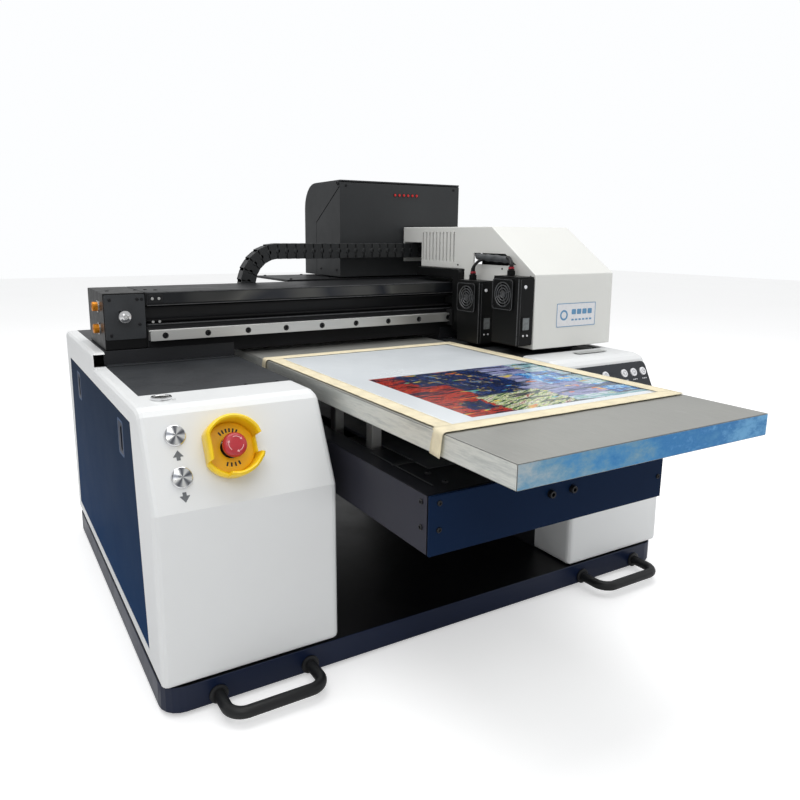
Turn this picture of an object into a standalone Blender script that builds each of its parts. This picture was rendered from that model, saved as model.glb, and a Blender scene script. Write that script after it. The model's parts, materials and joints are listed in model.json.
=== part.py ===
"""Compact flatbed UV printer: two side pods on a tray, a gantry with a print carriage, a rising table."""

import math

import bpy
import bmesh
from mathutils import Matrix, Vector

MM = 0.001
GAP = 0.4

# Footprint and heights, in millimetres. X runs right, Y runs back, Z runs up from the floor.
# Places below are measured from the middle of the tray. HOME is the middle of the whole machine's
# box at rest, seen from above, and becomes the frame's origin.
HOME = Vector((0.5, -102.0, 0.0))
BASE_X = 377.0
BASE_Y = 288.0
TRAY_LOW = 5.0
TRAY_TOP = 35.0
TRAY_RADIUS = 24.0
SHEET = 2.5

# Side pods
LEFT_IN = -174.0
RIGHT_IN = 192.0
POD_FLOOR = TRAY_TOP + GAP
POD_TOP = 321.0
SLOPE_LOW = (-285.0, 224.0)
SLOPE_HIGH = (-240.0, 313.5)
TOP_FRONT = -224.0
DECK_FRONT = -171.0
RISER_FRONT = 41.0
RISER_TOP = 340.0
STEP_Y = 26.0
BORDER = 17.0
RETURN_BACK = -218.0
PANEL_LOW = 55.5
PANEL_HIGH = 301.0
SLOT_PULL_Z = 271.0

# Gantry
BEAM_FRONT = 42.0
BEAM_BACK = 166.0
BEAM_LOW = 340.3
BEAM_TOP = 417.0
BEAM_END = 356.0
BLOCK_IN = 301.0
RAIL_LOW = 351.0
RAIL_TOP = 365.0
RAIL_OUT = 27.0
RAIL_X0 = -299.0
RAIL_X1 = 300.0
RAIL_PITCH = 60.0
PULLEY_X = 331.0
PULLEY_Z = 386.5
PULLEY_R = 7.2
BELT_IN = 7.5
BELT_OUT = 9.5
BELT_Y = (45.0, 55.0)

# Table and lift
TABLE_X = (-156.0, 174.0)
TABLE_Y = (-554.0, 191.0)
TABLE_Z = (299.0, 322.0)
HOUSE_X = (-156.0, 175.0)
HOUSE_Y = (-434.0, 275.0)
HOUSE_Z = (195.0, 256.0)
HOUSE_WALL = 3.0
POST_X = (-120.0, 138.0)
POST_Y = (-272.0, -180.0)
SLOT_BACK = 262.0
SCREW_X = 9.5
SCREW_Z = 216.0
LIFT_Y = 110.0
GUIDE_OFFSET = 44.0
LIFT_SCREW_OFFSET = 66.0

# Carriage, drag chain and ink cabinet
CAR_X = (215.0, 378.0)
CAR_FRAME_X = (206.0, 374.0)
RUNNER_X = (212.0, 298.0)
CAR_Z = 440.0
LAMP_X = (184.0, 214.6)
CHAIN_Y = (167.5, 190.0)
CHAIN_H = 26.0
BEND_X = -49.5
BEND_Z = 413.0
BEND_R = 55.0
CHAIN_END = 366.0
CHAIN_ANCHOR = 190.0
CAB_X = (83.0, 346.0)
CAB_Y = (200.0, 350.0)
CAB_Z = (420.3, 592.0)
CAB_RIM = 588.0
LID_AXIS = (201.0, 589.5)
LID_R = 46.0

# Emergency stop and keys on the sloping faces
STOP_X = -288.0
STOP_S = 57.0
KEY_X = -342.0
UP_S = 78.0
DOWN_S = 34.5
POWER_AT = (-341.0, -196.0)
PANEL_KEYS = (281.0, 320.0, 340.0, 360.0)
PANEL_KEY_S = 80.0

for item in list(bpy.data.objects):
    bpy.data.objects.remove(item, do_unlink=True)


def material(name, rgb, rough=0.5, metal=0.0):
    mat = bpy.data.materials.new(name)
    mat.use_nodes = True
    node = mat.node_tree.nodes["Principled BSDF"]
    node.inputs["Base Color"].default_value = (rgb[0], rgb[1], rgb[2], 1.0)
    node.inputs["Roughness"].default_value = rough
    node.inputs["Metallic"].default_value = metal
    mat.diffuse_color = (rgb[0], rgb[1], rgb[2], 1.0)
    return mat


NAVY = ((0.012, 0.022, 0.065), 0.45, 0.0)
BLUE = ((0.02, 0.045, 0.13), 0.4, 0.0)
WHITE = ((0.78, 0.79, 0.8), 0.4, 0.0)
BLACK = ((0.02, 0.02, 0.022), 0.5, 0.0)
GREY = ((0.05, 0.052, 0.055), 0.55, 0.0)
STEEL = ((0.55, 0.55, 0.56), 0.3, 1.0)
ALU = ((0.6, 0.6, 0.6), 0.35, 1.0)
CHROME = ((0.8, 0.8, 0.8), 0.12, 1.0)
RUBBER = ((0.02, 0.02, 0.02), 0.85, 0.0)
YELLOW = ((0.85, 0.5, 0.02), 0.4, 0.0)
RED = ((0.6, 0.02, 0.03), 0.35, 0.0)
PAPER = ((0.85, 0.86, 0.88), 0.5, 0.0)


def block(x, y, z):
    verts = [(a, b, c) for a in x for b in y for c in z]
    faces = [(0, 1, 3, 2), (4, 6, 7, 5), (0, 4, 5, 1), (2, 3, 7, 6), (0, 2, 6, 4), (1, 5, 7, 3)]
    return verts, faces


def lift2d(p, axis, at):
    if axis == "X":
        return (at, p[0], p[1])
    if axis == "Y":
        return (p[0], at, p[1])
    return (p[0], p[1], at)


def prism(points, axis, span):
    n = len(points)
    verts = [lift2d(p, axis, a) for a in span for p in points]
    faces = [tuple(range(n)), tuple(range(2 * n - 1, n - 1, -1))]
    faces += [(i, (i + 1) % n, n + (i + 1) % n, n + i) for i in range(n)]
    return verts, faces


def ring_prism(outer, inner, axis, span):
    n = len(outer)
    verts = [lift2d(p, axis, a) for a in span for loop in (outer, inner) for p in loop]
    faces = []
    for i in range(n):
        j = (i + 1) % n
        faces.append((i, j, 2 * n + j, 2 * n + i))
        faces.append((n + i, 3 * n + i, 3 * n + j, n + j))
        faces.append((i, n + i, n + j, j))
        faces.append((2 * n + i, 2 * n + j, 3 * n + j, 3 * n + i))
    return verts, faces


def lathe(profile, seg=24):
    """Turns (radius, height) steps about Z; the ends are flat caps."""
    verts = []
    for r, h in profile:
        verts += [(r * math.cos(t), r * math.sin(t), h) for t in angles(seg)]
    faces = []
    for k in range(len(profile) - 1):
        for i in range(seg):
            j = (i + 1) % seg
            faces.append((k * seg + i, k * seg + j, (k + 1) * seg + j, (k + 1) * seg + i))
    last = (len(profile) - 1) * seg
    faces.append(tuple(range(seg - 1, -1, -1)))
    faces.append(tuple(range(last, last + seg)))
    return verts, faces


def angles(seg, start=0.0, turn=2.0 * math.pi):
    return [start + turn * i / seg for i in range(seg)]


def arc(cx, cz, r, a0, a1, steps):
    out = []
    for i in range(steps + 1):
        t = math.radians(a0 + (a1 - a0) * i / steps)
        out.append((cx + r * math.cos(t), cz + r * math.sin(t)))
    return out


def rounded(x, y, r, steps=4):
    pts = arc(x[1] - r, y[0] + r, r, -90, 0, steps)
    pts += arc(x[1] - r, y[1] - r, r, 0, 90, steps)
    pts += arc(x[0] + r, y[1] - r, r, 90, 180, steps)
    pts += arc(x[0] + r, y[0] + r, r, 180, 270, steps)
    return pts


def tube(path, r, seg=12):
    """Sweeps a round bar along a path that lies in a level plane."""
    verts = []
    faces = []
    n = len(path)
    for k, p in enumerate(path):
        a = Vector(path[max(k - 1, 0)])
        b = Vector(path[min(k + 1, n - 1)])
        ahead = (b - a).normalized()
        side = Vector((-ahead.y, ahead.x, 0.0))
        for t in angles(seg):
            q = Vector(p) + side * (r * math.cos(t)) + Vector((0, 0, r * math.sin(t)))
            verts.append(tuple(q))
    for k in range(n - 1):
        for i in range(seg):
            j = (i + 1) % seg
            faces.append((k * seg + i, k * seg + j, (k + 1) * seg + j, (k + 1) * seg + i))
    faces.append(tuple(range(seg)))
    faces.append(tuple(range((n - 1) * seg, n * seg)))
    return verts, faces


def placed(shape, matrix):
    return [tuple(matrix @ Vector(v)) for v in shape[0]], shape[1]


def moved(shape, x=0.0, y=0.0, z=0.0):
    return placed(shape, Matrix.Translation((x, y, z)))


def together(*shapes):
    verts = []
    faces = []
    for v, f in shapes:
        base = len(verts)
        verts += list(v)
        faces += [tuple(base + i for i in face) for face in f]
    return verts, faces


def raw(name, shape, origin=(0.0, 0.0, 0.0)):
    mesh = bpy.data.meshes.new(name)
    o = Vector(origin)
    mesh.from_pydata([tuple((Vector(v) - o) * MM) for v in shape[0]], [], shape[1])
    bm = bmesh.new()
    bm.from_mesh(mesh)
    bmesh.ops.recalc_face_normals(bm, faces=bm.faces)
    bm.to_mesh(mesh)
    bm.free()
    obj = bpy.data.objects.new(name, mesh)
    obj.location = (o - HOME) * MM
    bpy.context.scene.collection.objects.link(obj)
    return obj


def cutter(name, shape, origin=(0.0, 0.0, 0.0), bevel=0.0):
    obj = raw(name, shape, origin)
    obj.hide_render = True
    obj.display_type = "WIRE"
    if bevel:
        add_bevel(obj, bevel, 2)
    return obj


def add_bevel(obj, width, segments=2, angle=50.0):
    mod = obj.modifiers.new("edge", "BEVEL")
    mod.width = width * MM
    mod.segments = segments
    mod.limit_method = "ANGLE"
    mod.angle_limit = math.radians(angle)


def boolean(obj, other, how="DIFFERENCE"):
    mod = obj.modifiers.new(how.lower(), "BOOLEAN")
    mod.operation = how
    mod.solver = "EXACT"
    mod.object = other


def solid(name, shape, look, origin=(0.0, 0.0, 0.0), bevel=0.0, segments=2, smooth=False, join=(), cut=()):
    obj = raw(name, shape, origin)
    obj.data.materials.append(material(name, look[0], look[1], look[2]))
    if smooth:
        obj.data.shade_smooth()
        obj.data.set_sharp_from_angle(angle=math.radians(35.0))
    if bevel:
        add_bevel(obj, bevel, segments)
        if join or cut:
            obj.modifiers.new("split", "TRIANGULATE")
    for i, extra in enumerate(join):
        boolean(obj, cutter(f"{name}_join{i}", extra), "UNION")
    for i, extra in enumerate(cut):
        boolean(obj, cutter(f"{name}_cut{i}", extra))
    return obj


def slope_frame(x, s):
    """Frame on a pod's sloping face: Z out of the face, Y up the face, X to the right."""
    dy = SLOPE_HIGH[0] - SLOPE_LOW[0]
    dz = SLOPE_HIGH[1] - SLOPE_LOW[1]
    size = math.hypot(dy, dz)
    up = Vector((0.0, dy / size, dz / size))
    out = Vector((0.0, -dz / size, dy / size))
    at = Vector((x, SLOPE_LOW[0], SLOPE_LOW[1])) + up * s
    m = Matrix((
        (1.0, up.x, out.x, at.x),
        (0.0, up.y, out.y, at.y),
        (0.0, up.z, out.z, at.z),
        (0.0, 0.0, 0.0, 1.0),
    ))
    return m


# Base tray, feet and handles
tray = prism(rounded((-BASE_X, BASE_X), (-BASE_Y, BASE_Y), TRAY_RADIUS, 5), "Z", (TRAY_LOW, TRAY_TOP))
under = prism(rounded((-322.0, 322.0), (-232.0, 232.0), 8.0, 2), "Z", (-10.0, TRAY_TOP - 4.0))
solid("base_tray", tray, NAVY, smooth=True, cut=(under,))
for label, fx, fy in (("fl", -346, -258), ("fr", 346, -258), ("rl", -346, 258), ("rr", 346, 258)):
    foot = lathe([(15.0, 0.0), (17.0, 1.0), (17.0, TRAY_LOW - GAP)], 20)
    solid(f"foot_{label}", moved(foot, fx, fy), RUBBER, smooth=True)
for label, hx in (("left", (-319.0, -212.0)), ("right", (220.0, 327.0))):
    bend = 16.0
    front = -BASE_Y - 43.0
    path = [(hx[0], -BASE_Y - GAP, 15.0)]
    path += [(p[0], p[1], 15.0) for p in arc(hx[0] + bend, front + bend, bend, 180, 270, 4)]
    path += [(p[0], p[1], 15.0) for p in arc(hx[1] - bend, front + bend, bend, 270, 360, 4)]
    path.append((hx[1], -BASE_Y - GAP, 15.0))
    solid(f"handle_{label}", tube(path, 6.5, 12), BLACK, smooth=True)


# Pods
def pod_outline(inset):
    top = POD_TOP - inset
    front = [(-BASE_Y + inset, POD_FLOOR if not inset else 0.0)]
    front.append((SLOPE_LOW[0] + inset, SLOPE_LOW[1] - 0.2 * inset))
    front.append((SLOPE_HIGH[0] + 0.95 * inset, SLOPE_HIGH[1] - 0.5 * inset))
    front.append((SLOPE_HIGH[0] + 5.0 + 0.6 * inset, top - 3.0 + 0.2 * inset))
    front.append((TOP_FRONT, top))
    back = [(STEP_Y + inset, top), (STEP_Y + 1.0 + inset, RISER_TOP - inset)]
    back.append((BASE_Y - inset, RISER_TOP - inset))
    back.append((BASE_Y - inset, POD_FLOOR if not inset else 0.0))
    return front + back


def panel_outline(grow):
    low = PANEL_LOW - grow
    high = PANEL_HIGH + grow
    return [(-234.0 - grow, low), (261.0 + grow, low), (248.0 + grow, high), (-204.0 - grow, high)]


def key_hole(x, s, r):
    return placed(lathe([(r, -12.0), (r, 12.0)], 24), slope_frame(x, s))


def pod(side, x_out, x_in, extra_cuts):
    lo = min(x_out, x_in)
    hi = max(x_out, x_in)
    sign = -1.0 if x_out < 0 else 1.0
    border = x_out - sign * BORDER
    cover = prism(pod_outline(0.0), "X", (lo, hi))
    hollow = prism(pod_outline(SHEET), "X", (lo + SHEET, hi - SHEET))
    deck = block(sorted((border, x_in - sign * 5)), (DECK_FRONT, BASE_Y - SHEET - 0.4), (300.0, 360.0))
    wall = block(sorted((x_in - sign * 5, x_in + sign * 5)), (RETURN_BACK, BASE_Y + 5), (0.0, 312.0))
    window = prism(panel_outline(0.8), "X", sorted((x_out - sign * 5, x_out + sign * 5)))
    end_x = sorted((x_out - sign * SHEET, border))
    border_end = block(end_x, (STEP_Y - 11.0, STEP_Y + 19.0), (POD_TOP + 0.3, RISER_TOP - SHEET))
    cuts = (hollow, deck, wall, window, border_end) + extra_cuts
    solid(f"pod_cover_{side}", cover, WHITE, bevel=7.0, segments=3, smooth=True, cut=cuts)

    wall_x = sorted((x_in + sign * 2.5, x_in + sign * 5.0))
    far = border - sign * 0.5
    near = x_in + sign * 2.5
    plate = block(wall_x, (RETURN_BACK + 0.5, BASE_Y - 3.0), (POD_FLOOR, 316.3))
    riser = block(sorted((far, near)), (RISER_FRONT, BASE_Y - 3.0), (316.3, RISER_TOP - 0.3))
    inside_x = sorted((far + sign * 9.0, near + sign * 2.5))
    inner = block(inside_x, (RISER_FRONT + SHEET, 400.0), (300.0, RISER_TOP - 2.8))
    slot = block(sorted((x_in - 10, x_in + 10)), (LIFT_Y - 25.0, LIFT_Y + 25.0), (40.0, 258.0))
    trim = block(inside_x, (0.0, RISER_FRONT + SHEET + 1.0), (300.0, 320.2))
    solid(f"pod_frame_{side}", plate, BLACK, join=(riser,), cut=(inner, trim, slot))

    deck_x = sorted((border - sign * 0.5, x_in))
    plate = block(deck_x, (DECK_FRONT + 0.4, RISER_FRONT - 0.5), (317.0, 319.8))
    return plate


stop_holes = (
    key_hole(KEY_X, UP_S, 9.7),
    key_hole(KEY_X, DOWN_S, 9.7),
    key_hole(STOP_X, STOP_S, 10.2),
    moved(lathe([(8.8, 310.0), (8.8, 330.0)], 24), POWER_AT[0], POWER_AT[1]),
)
deck_left = pod("left", -BASE_X, LEFT_IN, stop_holes)
deck_right = pod("right", BASE_X, RIGHT_IN, ())
solid("deck_panel_left", deck_left, BLACK)
well = block((240.0, 340.0), (-140.0, -30.0), (300.0, 330.0))
solid("deck_panel_right", deck_right, BLACK, cut=(well,))

for side, sign in (("left", -1.0), ("right", 1.0)):
    skin = prism(panel_outline(0.0), "X", sorted((sign * BASE_X, sign * (BASE_X - 2.0))))
    pull_x = (sign * BASE_X - 5.0, sign * BASE_X + 5.0)
    pull_z = (SLOT_PULL_Z - 13.0, SLOT_PULL_Z + 13.0)
    pulls = [block(pull_x, (y - 3.0, y + 3.0), pull_z) for y in (-152.0, 164.0)]
    axis = (sign * (BASE_X - 2.0), 0.0, PANEL_LOW)
    solid(f"side_panel_{side}", skin, BLUE, origin=axis, cut=(together(*pulls),))

# Keys and the emergency stop
for label, s in (("up", UP_S), ("down", DOWN_S)):
    cap = lathe([(9.1, -7.0), (9.1, 2.4), (8.0, 3.3), (4.6, 4.0), (0.8, 4.2)], 24)
    spot = slope_frame(KEY_X, s)
    solid(f"{label}_button", placed(cap, spot), CHROME, origin=spot.translation, smooth=True)
cap = lathe([(8.4, 312.0), (8.4, 322.6), (7.4, 323.4)], 24)
solid("power_button", moved(cap, POWER_AT[0], POWER_AT[1]), CHROME,
      origin=(POWER_AT[0], POWER_AT[1], POD_TOP), smooth=True)

spot = slope_frame(STOP_X, STOP_S)
ring = [(11.2, GAP), (29.6, GAP), (31.4, 3.0), (31.9, 18.0), (30.5, 25.0)]
ring += [(26.4, 25.0), (24.6, 18.0), (23.8, 5.0), (11.2, 5.0)]
seg = 30
verts = [(r * math.cos(t), r * math.sin(t), h) for r, h in ring for t in angles(seg)]
faces = [(k * seg + i, k * seg + (i + 1) % seg, ((k + 1) % 9) * seg + (i + 1) % seg, ((k + 1) % 9) * seg + i)
         for k in range(9) for i in range(seg)]
mouth = placed(block((14.0, 60.0), (-10.5, 10.5), (7.5, 60.0)), Matrix.Rotation(math.radians(-4), 4, "Z"))
side_mouth = placed(block((14.0, 60.0), (-8.0, 8.0), (7.5, 60.0)), Matrix.Rotation(math.radians(215), 4, "Z"))
solid("estop_guard", placed((verts, faces), spot), YELLOW, smooth=True,
      cut=(placed(mouth, spot), placed(side_mouth, spot)))
collar = lathe([(9.6, -14.0), (9.6, 10.0), (7.0, 11.0), (7.0, 14.0)], 24)
solid("estop_collar", placed(collar, spot), BLACK, origin=spot.translation, smooth=True)
head = [(9.4, 14.4), (12.3, 16.2), (12.9, 18.6), (12.6, 21.0), (11.0, 23.2), (7.6, 24.1), (3.4, 24.4)]
solid("estop_head", placed(lathe(head, 28), spot), RED, origin=spot.translation, smooth=True)

spot = slope_frame(0.0, 0.0)
strip = prism(rounded((212.0, 370.0), (48.0, 96.0), 8.0, 3), "Z", (GAP, 3.4))
keys = [moved(lathe([(6.7, -5.0), (6.7, 8.0)], 20), x, PANEL_KEY_S) for x in PANEL_KEYS]
solid("control_strip", placed(strip, spot), BLACK, cut=(placed(together(*keys), spot),))
for i, x in enumerate(PANEL_KEYS):
    at = slope_frame(x, PANEL_KEY_S)
    cap = lathe([(6.2, 1.6), (6.2, 4.2), (5.6, 4.7)], 20)
    solid(f"panel_button_{i + 1}", placed(cap, at), WHITE, origin=at.translation, smooth=True)

# Gantry beam, end blocks, rail and belt
outline = [(BEAM_FRONT, BEAM_LOW), (193.0, BEAM_LOW), (193.0, 352.0), (191.2, 352.0), (191.2, 344.4)]
outline += [(BEAM_BACK, 344.4), (BEAM_BACK, BEAM_TOP), (BEAM_FRONT, BEAM_TOP), (BEAM_FRONT, 399.5)]
outline += [(58.0, 399.5), (58.0, 373.5), (BEAM_FRONT, 373.5), (BEAM_FRONT, 371.0), (44.0, 370.0)]
outline += [(44.0, 368.0), (BEAM_FRONT, 367.0)]
tunnel = block((-400.0, 400.0), (63.0, 161.0), (345.5, 412.0))
beam_x = (-BLOCK_IN + 0.4, BLOCK_IN + 1.6)
solid("gantry_beam", prism(outline, "X", beam_x), BLACK, cut=(tunnel,))
for side, sign in (("left", -1.0), ("right", 1.0)):
    inner_face = BLOCK_IN if sign < 0 else BLOCK_IN + 2.0
    body_x = sorted((sign * BEAM_END, sign * inner_face))
    body = block(body_x, (BEAM_FRONT - 1.0, BEAM_BACK), (BEAM_LOW, BEAM_TOP))
    pocket = block(sorted((sign * 344.0, sign * 290.0)), (43.5, 58.5), (374.0, 399.0))
    deep = 46.0 if sign < 0 else 180.0
    bore = placed(lathe([(5.4, -deep), (5.4, -30.0)], 20), Matrix.Rotation(math.radians(90), 4, "X"))
    bore = moved(bore, sign * PULLEY_X, 0.0, PULLEY_Z)
    solid(f"beam_end_{side}", body, BLACK, bevel=1.0, cut=(pocket, bore))

rail = [(BEAM_FRONT - GAP, RAIL_LOW), (BEAM_FRONT - GAP, RAIL_TOP), (36.0, RAIL_TOP), (33.5, RAIL_TOP - 2.0)]
rail += [(31.0, RAIL_TOP), (RAIL_OUT, RAIL_TOP), (RAIL_OUT, RAIL_LOW), (31.0, RAIL_LOW)]
rail += [(33.5, RAIL_LOW + 2.0), (36.0, RAIL_LOW)]
turn = Matrix.Rotation(math.radians(90), 4, "X")
hole = placed(lathe([(3.8, -RAIL_OUT - 5.5), (3.8, -RAIL_OUT + 5.0)], 14), turn)
holes = [moved(hole, RAIL_X0 + 20.0 + RAIL_PITCH * n, 0.0, 358.0) for n in range(10)]
solid("x_rail", prism(rail, "X", (RAIL_X0, RAIL_X1)), STEEL, cut=(together(*holes),))


def stadium(r):
    return arc(PULLEY_X, PULLEY_Z, r, -90, 90, 10) + arc(-PULLEY_X, PULLEY_Z, r, 90, 270, 10)


solid("x_belt", ring_prism(stadium(BELT_OUT), stadium(BELT_IN), "Y", BELT_Y), RUBBER, smooth=True)
turn = Matrix.Rotation(math.radians(90), 4, "X")
idler = [(4.0, -57.6), (4.0, -54.6), (PULLEY_R, -54.6), (PULLEY_R, -45.4), (4.6, -45.4), (4.6, -38.0)]
idler += [(6.4, -38.0), (6.4, -33.0), (7.6, -32.0), (7.6, -27.0), (4.4, -26.4), (4.4, -22.5), (3.4, -21.8)]
solid("idler_pulley", moved(placed(lathe(idler, 24), turn), -PULLEY_X, 0, PULLEY_Z), CHROME,
      origin=(-PULLEY_X, 50.0, PULLEY_Z), smooth=True)
drive = [(3.9, -165.6), (3.9, -54.6), (PULLEY_R, -54.6), (PULLEY_R, -45.4)]
drive += [(4.6, -45.4), (4.6, -34.0), (3.8, -33.2)]
solid("drive_pulley", moved(placed(lathe(drive, 24), turn), PULLEY_X, 0, PULLEY_Z), CHROME,
      origin=(PULLEY_X, 50.0, PULLEY_Z), smooth=True)
MOTOR_HALF = 21.0
motor_x = (PULLEY_X - MOTOR_HALF, PULLEY_X + MOTOR_HALF)
motor_z = (PULLEY_Z - MOTOR_HALF, PULLEY_Z + MOTOR_HALF)
solid("x_motor", block(motor_x, (BEAM_BACK + GAP, 206.0), motor_z), BLACK, bevel=4.0, segments=1)

# Ink cabinet behind the gantry
shelf = block((-23.0, 350.0), (196.0, 345.0), (414.0, 418.0))
leg = block((215.0, 350.0), (281.6, 284.6), (RISER_TOP, 416.0))
toe = block((215.0, 350.0), (255.0, 284.6), (RISER_TOP + 0.1, RISER_TOP + 3.0))
solid("cabinet_shelf", shelf, BLACK, join=(leg, toe))
cab = [(CAB_Y[0], CAB_Z[0]), (297.6, CAB_Z[0]), (297.6, 518.4), (202.0, 580.0)]
cab += [(202.0, CAB_RIM), (CAB_Y[0], CAB_RIM)]
cab_in_x = (CAB_X[0] + SHEET, CAB_X[1] - SHEET)
cab_room = block(cab_in_x, (CAB_Y[0] + SHEET, 330.0), (CAB_Z[0] + SHEET, 620.0))
solid("ink_cabinet", prism(cab, "X", CAB_X), GREY, cut=(cab_room,))
comb = [(92.0, 423.4), (338.0, 423.4)]
for i in range(5, -1, -1):
    comb += [(97.0 + 40.5 * i + 33.0, 428.0), (97.0 + 40.5 * i + 33.0, 506.0)]
    comb += [(97.0 + 40.5 * i, 506.0), (97.0 + 40.5 * i, 428.0)]
comb = [comb[0], comb[1], (338.0, 428.0)] + comb[2:] + [(92.0, 428.0)]
solid("ink_tank_rack", prism(comb, "Y", (208.0, 276.0)), GREY)
lid = [(298.4, CAB_Z[0]), (CAB_Y[1], CAB_Z[0])] + arc(CAB_Y[1] - LID_R, CAB_Z[1] - LID_R, LID_R, 0, 90, 6)
lid += [(CAB_Y[0], CAB_Z[1]), (CAB_Y[0], 589.0), (202.6, 589.0), (202.6, 581.4), (298.4, 519.6)]
hood = [(290.0, 400.0), (CAB_Y[1] - SHEET, 400.0)]
hood += arc(CAB_Y[1] - LID_R, CAB_Z[1] - LID_R, LID_R - SHEET, 0, 90, 6)
hood += [(195.0, CAB_Z[1] - SHEET), (195.0, 500.0)]
solid("cabinet_lid", prism(lid, "X", CAB_X), GREY, origin=(0.0, LID_AXIS[0], LID_AXIS[1]), smooth=True,
      cut=(prism(hood, "X", cab_in_x),))

# Drag chain
low = BEND_R - CHAIN_H / 2
high = BEND_R + CHAIN_H / 2
run = arc(BEND_X, BEND_Z, high, 90, 180 + 90, 14) + arc(BEND_X, BEND_Z, low, 270, 90, 14)
bend_run = [(CHAIN_END, BEND_Z + high)] + run + [(CHAIN_END, BEND_Z + low)]
solid("chain_loop", prism(bend_run, "Y", CHAIN_Y), BLACK, smooth=True)
solid("chain_lower_run", block((BEND_X + GAP, CHAIN_ANCHOR), CHAIN_Y, (BEND_Z - high, BEND_Z - low)), BLACK)

# Lift guides and screws inside the pods
for side, face, sign in (("left", HOUSE_X[0], -1.0), ("right", HOUSE_X[1], 1.0)):
    gx = face + sign * GUIDE_OFFSET
    sx = face + sign * LIFT_SCREW_OFFSET
    guide = lathe([(12.0, POD_FLOOR), (12.0, 41.0), (8.0, 41.0), (8.0, 308.0)], 24)
    solid(f"lift_guide_{side}", moved(guide, gx, LIFT_Y), STEEL, smooth=True)
    screw = lathe([(9.0, POD_FLOOR), (9.0, 44.0), (5.5, 44.0), (5.5, 300.0)], 20)
    solid(f"z_screw_{side}", moved(screw, sx, LIFT_Y), STEEL, origin=(sx, LIFT_Y, POD_FLOOR), smooth=True)
    arm_x = sorted((face + sign * GAP, face + sign * 80.0))
    arm = block(arm_x, (LIFT_Y - 21.0, LIFT_Y + 21.0), (198.0, 248.0))
    bores = together(moved(lathe([(8.5, 150.0), (8.5, 300.0)], 24), gx, LIFT_Y),
                     moved(lathe([(6.0, 150.0), (6.0, 300.0)], 20), sx, LIFT_Y))
    solid(f"lift_arm_{side}", arm, ALU, cut=(bores,))

# Lift housing with its front plate, the table screw, the saddle and the table
shell = block(HOUSE_X, HOUSE_Y, HOUSE_Z)
room = block(*[(span[0] + HOUSE_WALL, span[1] - HOUSE_WALL) for span in (HOUSE_X, HOUSE_Y, HOUSE_Z)])
slots = together(*[block((x - 9.0, x + 9.0), (-284.0, SLOT_BACK), (240.0, 270.0)) for x in POST_X])
solid("lift_housing", shell, BLACK, bevel=0.8, segments=1, cut=(room, slots))
plate = block(HOUSE_X, (HOUSE_Y[0] - 4.0, HOUSE_Y[0] - GAP), HOUSE_Z)
solid("housing_front_plate", plate, NAVY, bevel=0.6, segments=1)
rod = moved(placed(lathe([(6.0, -266.0), (6.0, 424.0)], 20), turn), SCREW_X, 0.0, SCREW_Z)
solid("y_screw", rod, STEEL, origin=(SCREW_X, 0.0, SCREW_Z), smooth=True)
top = block((-128.0, 146.0), (-282.0, -170.0), (284.0, TABLE_Z[0] - GAP))
post_at = [(x, y) for x in POST_X for y in POST_Y]
posts = together(*[block((x - 6.0, x + 6.0), (y - 7.0, y + 7.0), (230.0, 290.0)) for x, y in post_at])
cross = block((-126.0, 144.0), (-262.0, -190.0), (232.0, 244.0))
ties = together(*[block((x - 6.0, x + 6.0), (-279.0, -173.0), (232.0, 244.0)) for x in POST_X])
nut = block((SCREW_X - 16.0, SCREW_X + 16.0), (-250.0, -202.0), (203.0, 238.0))
bore = moved(placed(lathe([(6.5, 150.0), (6.5, 300.0)], 20), turn), SCREW_X, 0.0, SCREW_Z)
solid("table_saddle", top, ALU, join=(posts, ties, cross, nut), cut=(bore,))
solid("table_plate", block(TABLE_X, TABLE_Y, TABLE_Z), ALU, bevel=0.8, segments=1)
sheet = block((-138.0, 159.0), (-448.0, -28.0), (TABLE_Z[1] + 0.3, TABLE_Z[1] + 1.0))
solid("media_sheet", sheet, PAPER)

# Carriage
skirt = 328.0
body = [(-169.0, skirt), (-167.0, 439.0), (-63.0, 509.5), (194.0, 510.0), (194.0, 447.0), (191.6, 447.0)]
body += [(191.6, 482.5), (133.0, 482.5), (133.0, CAR_Z + GAP), (4.5, CAR_Z + GAP), (4.5, skirt)]
void = [(-166.5, 300.0), (-164.5, 437.8), (-62.3, 507.1), (191.6, 507.5), (191.6, 300.0)]
vent_y = [35.0 + 10.3 * n for n in range(10)]
vents = [block((180.0, 400.0), (y - 1.8, y + 1.8), (452.0, 501.0)) for y in vent_y]
mouth = [(-20.0, 450.0), (-20.0, 468.0), (-98.0, 468.0), (-124.0, 452.0), (-112.0, 452.0), (-104.0, 450.0)]
solid("carriage_cover", prism(body, "X", CAR_X), WHITE, bevel=5.0, segments=3, smooth=True,
      cut=(prism(void, "X", (CAR_X[0] + SHEET, CAR_X[1] - SHEET)), together(*vents),
           prism(mouth, "X", (200.0, 222.0))))
frame = [(5.0, 335.0), (24.0, 335.0), (24.0, 425.0), (132.0, 425.0)]
frame += [(132.0, CAR_Z), (10.0, CAR_Z), (5.0, CAR_Z - 5.0)]
runner = [(20.0, 344.0), (38.0, 344.0), (38.0, 350.0), (25.8, 350.0)]
runner += [(25.8, 366.0), (38.0, 366.0), (38.0, 372.0), (20.0, 372.0)]
clamp = block(RUNNER_X, (20.0, 54.0), (380.2, 393.4))
solid("carriage_frame", prism(frame, "X", CAR_FRAME_X), BLACK, join=(prism(runner, "X", RUNNER_X), clamp))
head = together(block((232.0, 352.0), (-150.0, 4.6), (338.0, 404.0)))
foot = block((242.0, 342.0), (-142.0, -20.0), (326.0, 345.0))
rib_x = [238.0 + 19.0 * i for i in range(6)]
ribs = together(*[block((x, x + 10.0), (-140.0, -20.0), (400.0, 424.0)) for x in rib_x])
solid("print_head", head, GREY, join=(foot, ribs))
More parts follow.
